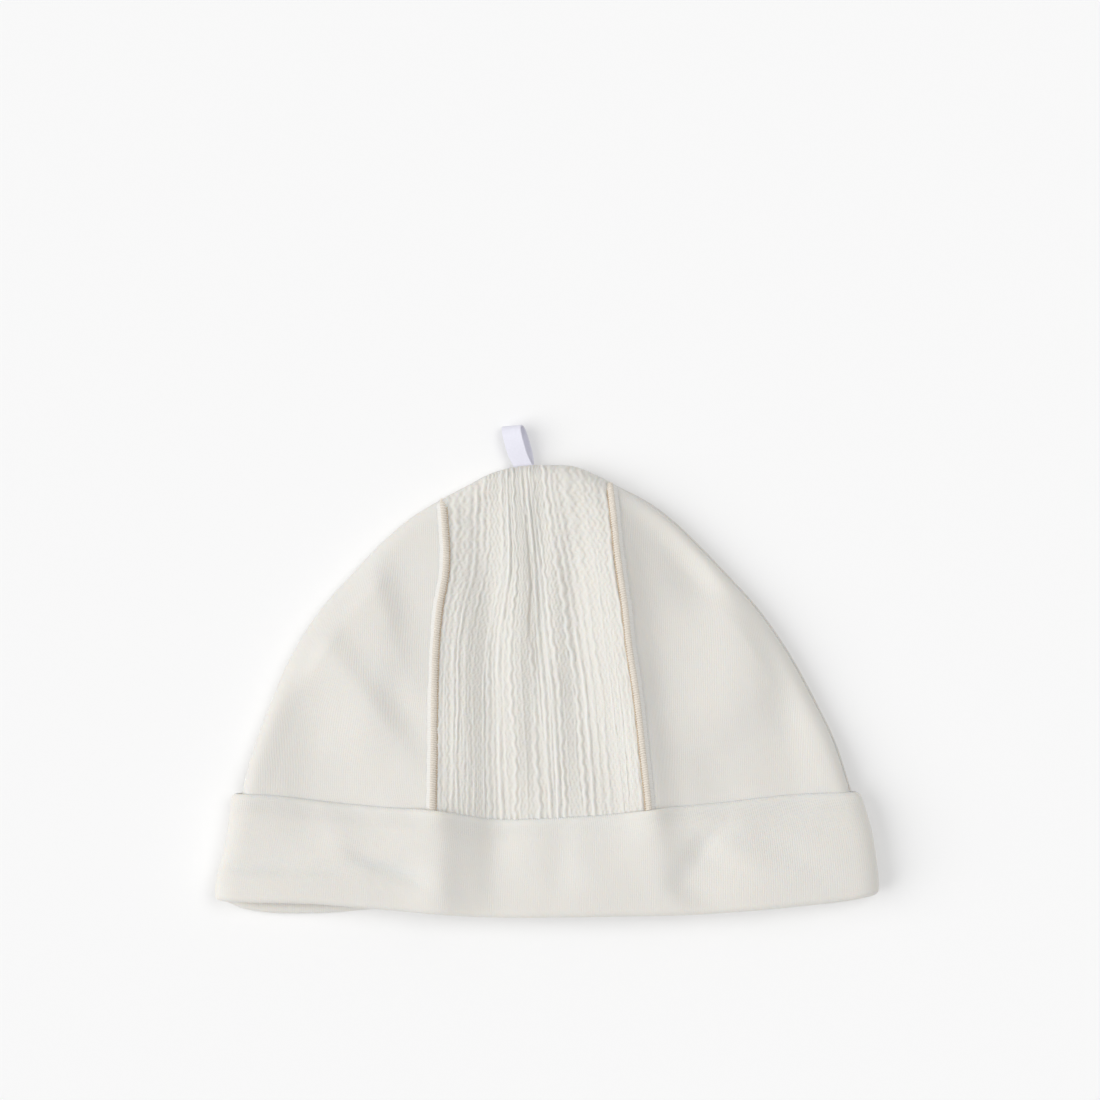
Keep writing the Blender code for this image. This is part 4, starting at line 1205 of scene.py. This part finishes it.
def gauze_finish(sizes, colours):
    """Crinkled cotton gauze: an open plain weave, with painted light that makes the ribs creamy and
    painted shade that makes the furrows greyer.
    """
    s = Shader("crinkle_gauze")
    weave = s.weave()
    u, v = s.parts(weave)
    threads = s.maths("MULTIPLY", s.stripes(u, GAUZE_WARP), s.stripes(v, GAUZE_WEFT))
    slub = s.noise(weave, 900.0, 3.0)
    height = s.scaled(slub, 0.9, threads)
    stored = s.node("ShaderNodeAttribute", attribute_name="relief", attribute_type="GEOMETRY")
    relief = stored.outputs["Fac"]
    # The stored relief paints light on the ribs and shade in the furrows, with a little random tone; the
    # darker, warmer colour is the painted furrow shade
    lit = s.scaled(s.maths("MINIMUM", relief, 0.4), 1.6, 0.42)
    tone_and_shade = s.scaled(s.noise(weave, 60.0, 4.0), 0.25, lit)
    low = tuple(a * b for a, b in zip(colours.gauze, (0.91, 0.895, 0.865)))
    base = s.blend(tone_and_shade, low, shade(colours.gauze, 1.02))
    s.soften()
    return s.finish(base, s.bump(height, 0.00010, 0.8), **COTTON)


def thread_finish(name, base_colour):
    """Plied cotton thread, its two plies winding round each other, with painted shade in the grooves
    between them.
    """
    s = Shader(name)
    weave = s.weave()
    u, v = s.parts(weave)
    turn = s.scaled(v, 2 * np.pi / PLY_PITCH, s.maths("MULTIPLY", u, 4 * np.pi))
    ply = s.waves(turn)
    fluff = s.noise(weave, 3000.0, 2.0)
    # Painted shade in the grooves between the plies, with random fluff in the colour
    tone_and_shade = s.scaled(ply, 0.5, s.maths("MULTIPLY", fluff, 0.5))
    base = s.blend(tone_and_shade, shade(base_colour, 0.88), shade(base_colour, 1.06))
    return s.finish(base, s.bump(tone_and_shade, 0.00006, 0.8), roughness=0.8, sheen=0.1, specular=0.3)


def ridge_finish(sizes, colours):
    """The folded cloth edges inside a seam, crossed by the shadows of its stitches."""
    if "seam_cloth" in bpy.data.materials:
        return bpy.data.materials["seam_cloth"]
    s = Shader("seam_cloth")
    weave = s.weave()
    u, v = s.parts(weave)
    # Stripes at the stitch pitch: dents in the cloth for the bump, and painted stitch shadows in the
    # colour
    stitch_dents_and_shadows = s.stripes(v, sizes.stitch_pitch)
    fluff = s.noise(weave, 1600.0, 3.0)
    tone_and_shade = s.scaled(stitch_dents_and_shadows, 0.5, s.maths("MULTIPLY", fluff, 0.5))
    bare = s.maths("GREATER_THAN", u, 0.28)
    # Painted shadows of the stitches: the thread and the bare jersey strip are darker between the
    # stitches, with random fluff
    low = s.blend(bare, shade(colours.thread, 0.78), shade(colours.jersey, 0.97))
    high = s.blend(bare, shade(colours.thread, 0.92), shade(colours.jersey, 1.04))
    base = s.blend(tone_and_shade, low, high)
    return s.finish(base, s.bump(tone_and_shade, 0.00012, 0.8), roughness=0.92, sheen=0.1, specular=0.2)


def satin_finish(colours):
    """Satin ribbon: a cool sheen along fine floating threads."""
    s = Shader("satin_ribbon")
    weave = s.weave()
    u, v = s.parts(weave)
    floats = s.stripes(u, SATIN_WARP)
    crossing = s.stripes(v, SATIN_WEFT)
    strand = s.noise(weave, 1400.0, 3.0)
    height = s.scaled(crossing, 0.3, s.scaled(strand, 0.4, floats))
    base = s.blend(strand, shade(colours.ribbon, 0.94), shade(colours.ribbon, 1.04))
    return s.finish(base, s.bump(height, 0.00003, 0.6), roughness=0.38, sheen=0.1, specular=0.5)


def floor_finish(colours):
    """Matt pale paper on a table that is softly lit from below."""
    s = Shader("floor_paper")
    place = s.node("ShaderNodeTexCoord").outputs["Object"]
    grain = s.noise(place, 700.0, 2.0)
    base = s.blend(grain, shade(colours.floor, 0.998), shade(colours.floor, 1.002))
    s.surface.inputs["Emission Color"].default_value = (1, 1, 1, 1)
    s.surface.inputs["Emission Strength"].default_value = FLOOR_GLOW
    return s.finish(base, s.bump(grain, 0.00002, 0.3), roughness=1.0, specular=0.0)


def settings(context):
    return context.scene.nightcap_sizes, context.scene.nightcap_colours


class NIGHTCAP_OT_stage(bpy.types.Operator):
    """Lay the floor, hang the soft light and put the camera straight above"""

    bl_idname = "nightcap.stage"
    bl_label = "Stage"

    def execute(self, context):
        sizes, colours = settings(context)
        bm = bmesh.new()
        bmesh.ops.create_grid(bm, x_segments=1, y_segments=1, size=FLOOR_SIZE)
        mesh = bpy.data.meshes.new("floor")
        bm.to_mesh(mesh)
        bm.free()
        mesh.materials.append(floor_finish(colours))
        floor = bpy.data.objects.new("floor", mesh)
        context.scene.collection.objects.link(floor)

        for row in LIGHTS:
            sun = bpy.data.lights.new(row.name, "SUN")
            sun.energy = row.energy
            sun.angle = row.angle
            lamp = bpy.data.objects.new(row.name, sun)
            lamp.rotation_euler = Vector(row.toward).to_track_quat("-Z", "Y").to_euler()
            context.scene.collection.objects.link(lamp)

        world = bpy.data.worlds.new("studio")
        world.use_nodes = True
        background = world.node_tree.nodes["Background"]
        background.inputs["Color"].default_value = (1, 1, 1, 1)
        background.inputs["Strength"].default_value = WORLD_GLOW
        context.scene.world = world

        camera = bpy.data.cameras.new("camera")
        camera.lens = LENS
        camera.sensor_width = SENSOR
        camera.clip_end = 20.0
        eye = bpy.data.objects.new("camera", camera)
        eye.location = CAMERA_AT
        context.scene.collection.objects.link(eye)
        context.scene.camera = eye
        context.scene.view_settings.view_transform = "Standard"
        return {"FINISHED"}


class NIGHTCAP_OT_side_panels(bpy.types.Operator):
    """Make the two plain jersey panels at the sides of the front"""

    bl_idname = "nightcap.side_panels"
    bl_label = "Side panels"

    def execute(self, context):
        sizes, colours = settings(context)
        form = Form(sizes)
        for side in ("left", "right"):
            mesh = side_panel(form, side)
            piece = add_piece(mesh, jersey_finish(sizes, colours), "jersey", f"{side}_panel")
            thicken(piece, sizes.cloth_wall)
        return {"FINISHED"}


class NIGHTCAP_OT_front_panel(bpy.types.Operator):
    """Make the crinkled gauze panel at the middle of the front"""

    bl_idname = "nightcap.front_panel"
    bl_label = "Front panel"

    def execute(self, context):
        sizes, colours = settings(context)
        mesh = gauze_panel(Form(sizes))
        piece = add_piece(mesh, gauze_finish(sizes, colours), "crinkle_knit", "front_panel")
        thicken(piece, sizes.cloth_wall)
        return {"FINISHED"}


class NIGHTCAP_OT_back_panel(bpy.types.Operator):
    """Make the plain jersey panel that the cap lies on"""

    bl_idname = "nightcap.back_panel"
    bl_label = "Back panel"

    def execute(self, context):
        sizes, colours = settings(context)
        mesh = back_panel(Form(sizes))
        piece = add_piece(mesh, jersey_finish(sizes, colours), "jersey", "back_panel")
        thicken(piece, sizes.cloth_wall)
        return {"FINISHED"}


class NIGHTCAP_OT_cuff(bpy.types.Operator):
    """Make the doubled jersey band that is turned up round the mouth"""

    bl_idname = "nightcap.cuff"
    bl_label = "Cuff"

    def execute(self, context):
        sizes, colours = settings(context)
        mesh = cuff_band(Form(sizes))
        piece = add_piece(mesh, jersey_finish(sizes, colours), "jersey", "cuff")
        return {"FINISHED"}


class NIGHTCAP_OT_seams(bpy.types.Operator):
    """Make the two raised seams with their overlock stitches"""

    bl_idname = "nightcap.seams"
    bl_label = "Raised seams"

    def execute(self, context):
        sizes, colours = settings(context)
        form = Form(sizes)
        stitch = thread_finish("overlock_thread", colours.thread)
        edge = thread_finish("edge_thread", colours.edging)
        for side in ("left", "right"):
            ridge = seam_ridge(form, side)
            add_piece(ridge, ridge_finish(sizes, colours), "seam_thread", f"{side}_seam")
            for mesh, finish in ((seam_stitches(form, side), stitch), (seam_edging(form, side), edge)):
                add_piece(mesh, finish, "seam_thread")
        return {"FINISHED"}


class NIGHTCAP_OT_hanging_loop(bpy.types.Operator):
    """Make the loop of satin ribbon at the top"""

    bl_idname = "nightcap.hanging_loop"
    bl_label = "Hanging loop"

    def execute(self, context):
        sizes, colours = settings(context)
        mesh = ribbon_loop(Form(sizes))
        piece = add_piece(mesh, satin_finish(colours), "satin_ribbon", "hanging_loop")
        thicken(piece, RIBBON_WALL)
        return {"FINISHED"}


STEPS = (
    NIGHTCAP_OT_stage,
    NIGHTCAP_OT_back_panel,
    NIGHTCAP_OT_side_panels,
    NIGHTCAP_OT_front_panel,
    NIGHTCAP_OT_seams,
    NIGHTCAP_OT_cuff,
    NIGHTCAP_OT_hanging_loop,
)


class NIGHTCAP_PT_panel(bpy.types.Panel):
    """Sizes, colours and pieces of the nightcap"""

    bl_idname = "NIGHTCAP_PT_panel"
    bl_label = "Baby nightcap"
    bl_space_type = "VIEW_3D"
    bl_region_type = "UI"
    bl_category = "Nightcap"

    def draw(self, context):
        for group in settings(context):
            box = self.layout.box()
            for name in group.__annotations__:
                box.prop(group, name)
        for step in STEPS:
            self.layout.operator(step.bl_idname, text=step.bl_label)


CLASSES = (NightcapSizes, NightcapColours, *STEPS, NIGHTCAP_PT_panel)


def register():
    for made in CLASSES:
        bpy.utils.register_class(made)
    bpy.types.Scene.nightcap_sizes = bpy.props.PointerProperty(type=NightcapSizes)
    bpy.types.Scene.nightcap_colours = bpy.props.PointerProperty(type=NightcapColours)


def unregister():
    del bpy.types.Scene.nightcap_colours
    del bpy.types.Scene.nightcap_sizes
    for made in reversed(CLASSES):
        bpy.utils.unregister_class(made)


def main():
    """Makes every piece in order."""
    register()
    bpy.ops.nightcap.stage()
    bpy.ops.nightcap.back_panel()
    bpy.ops.nightcap.side_panels()
    bpy.ops.nightcap.front_panel()
    bpy.ops.nightcap.seams()
    bpy.ops.nightcap.cuff()
    bpy.ops.nightcap.hanging_loop()


if __name__ == "__main__":
    main()
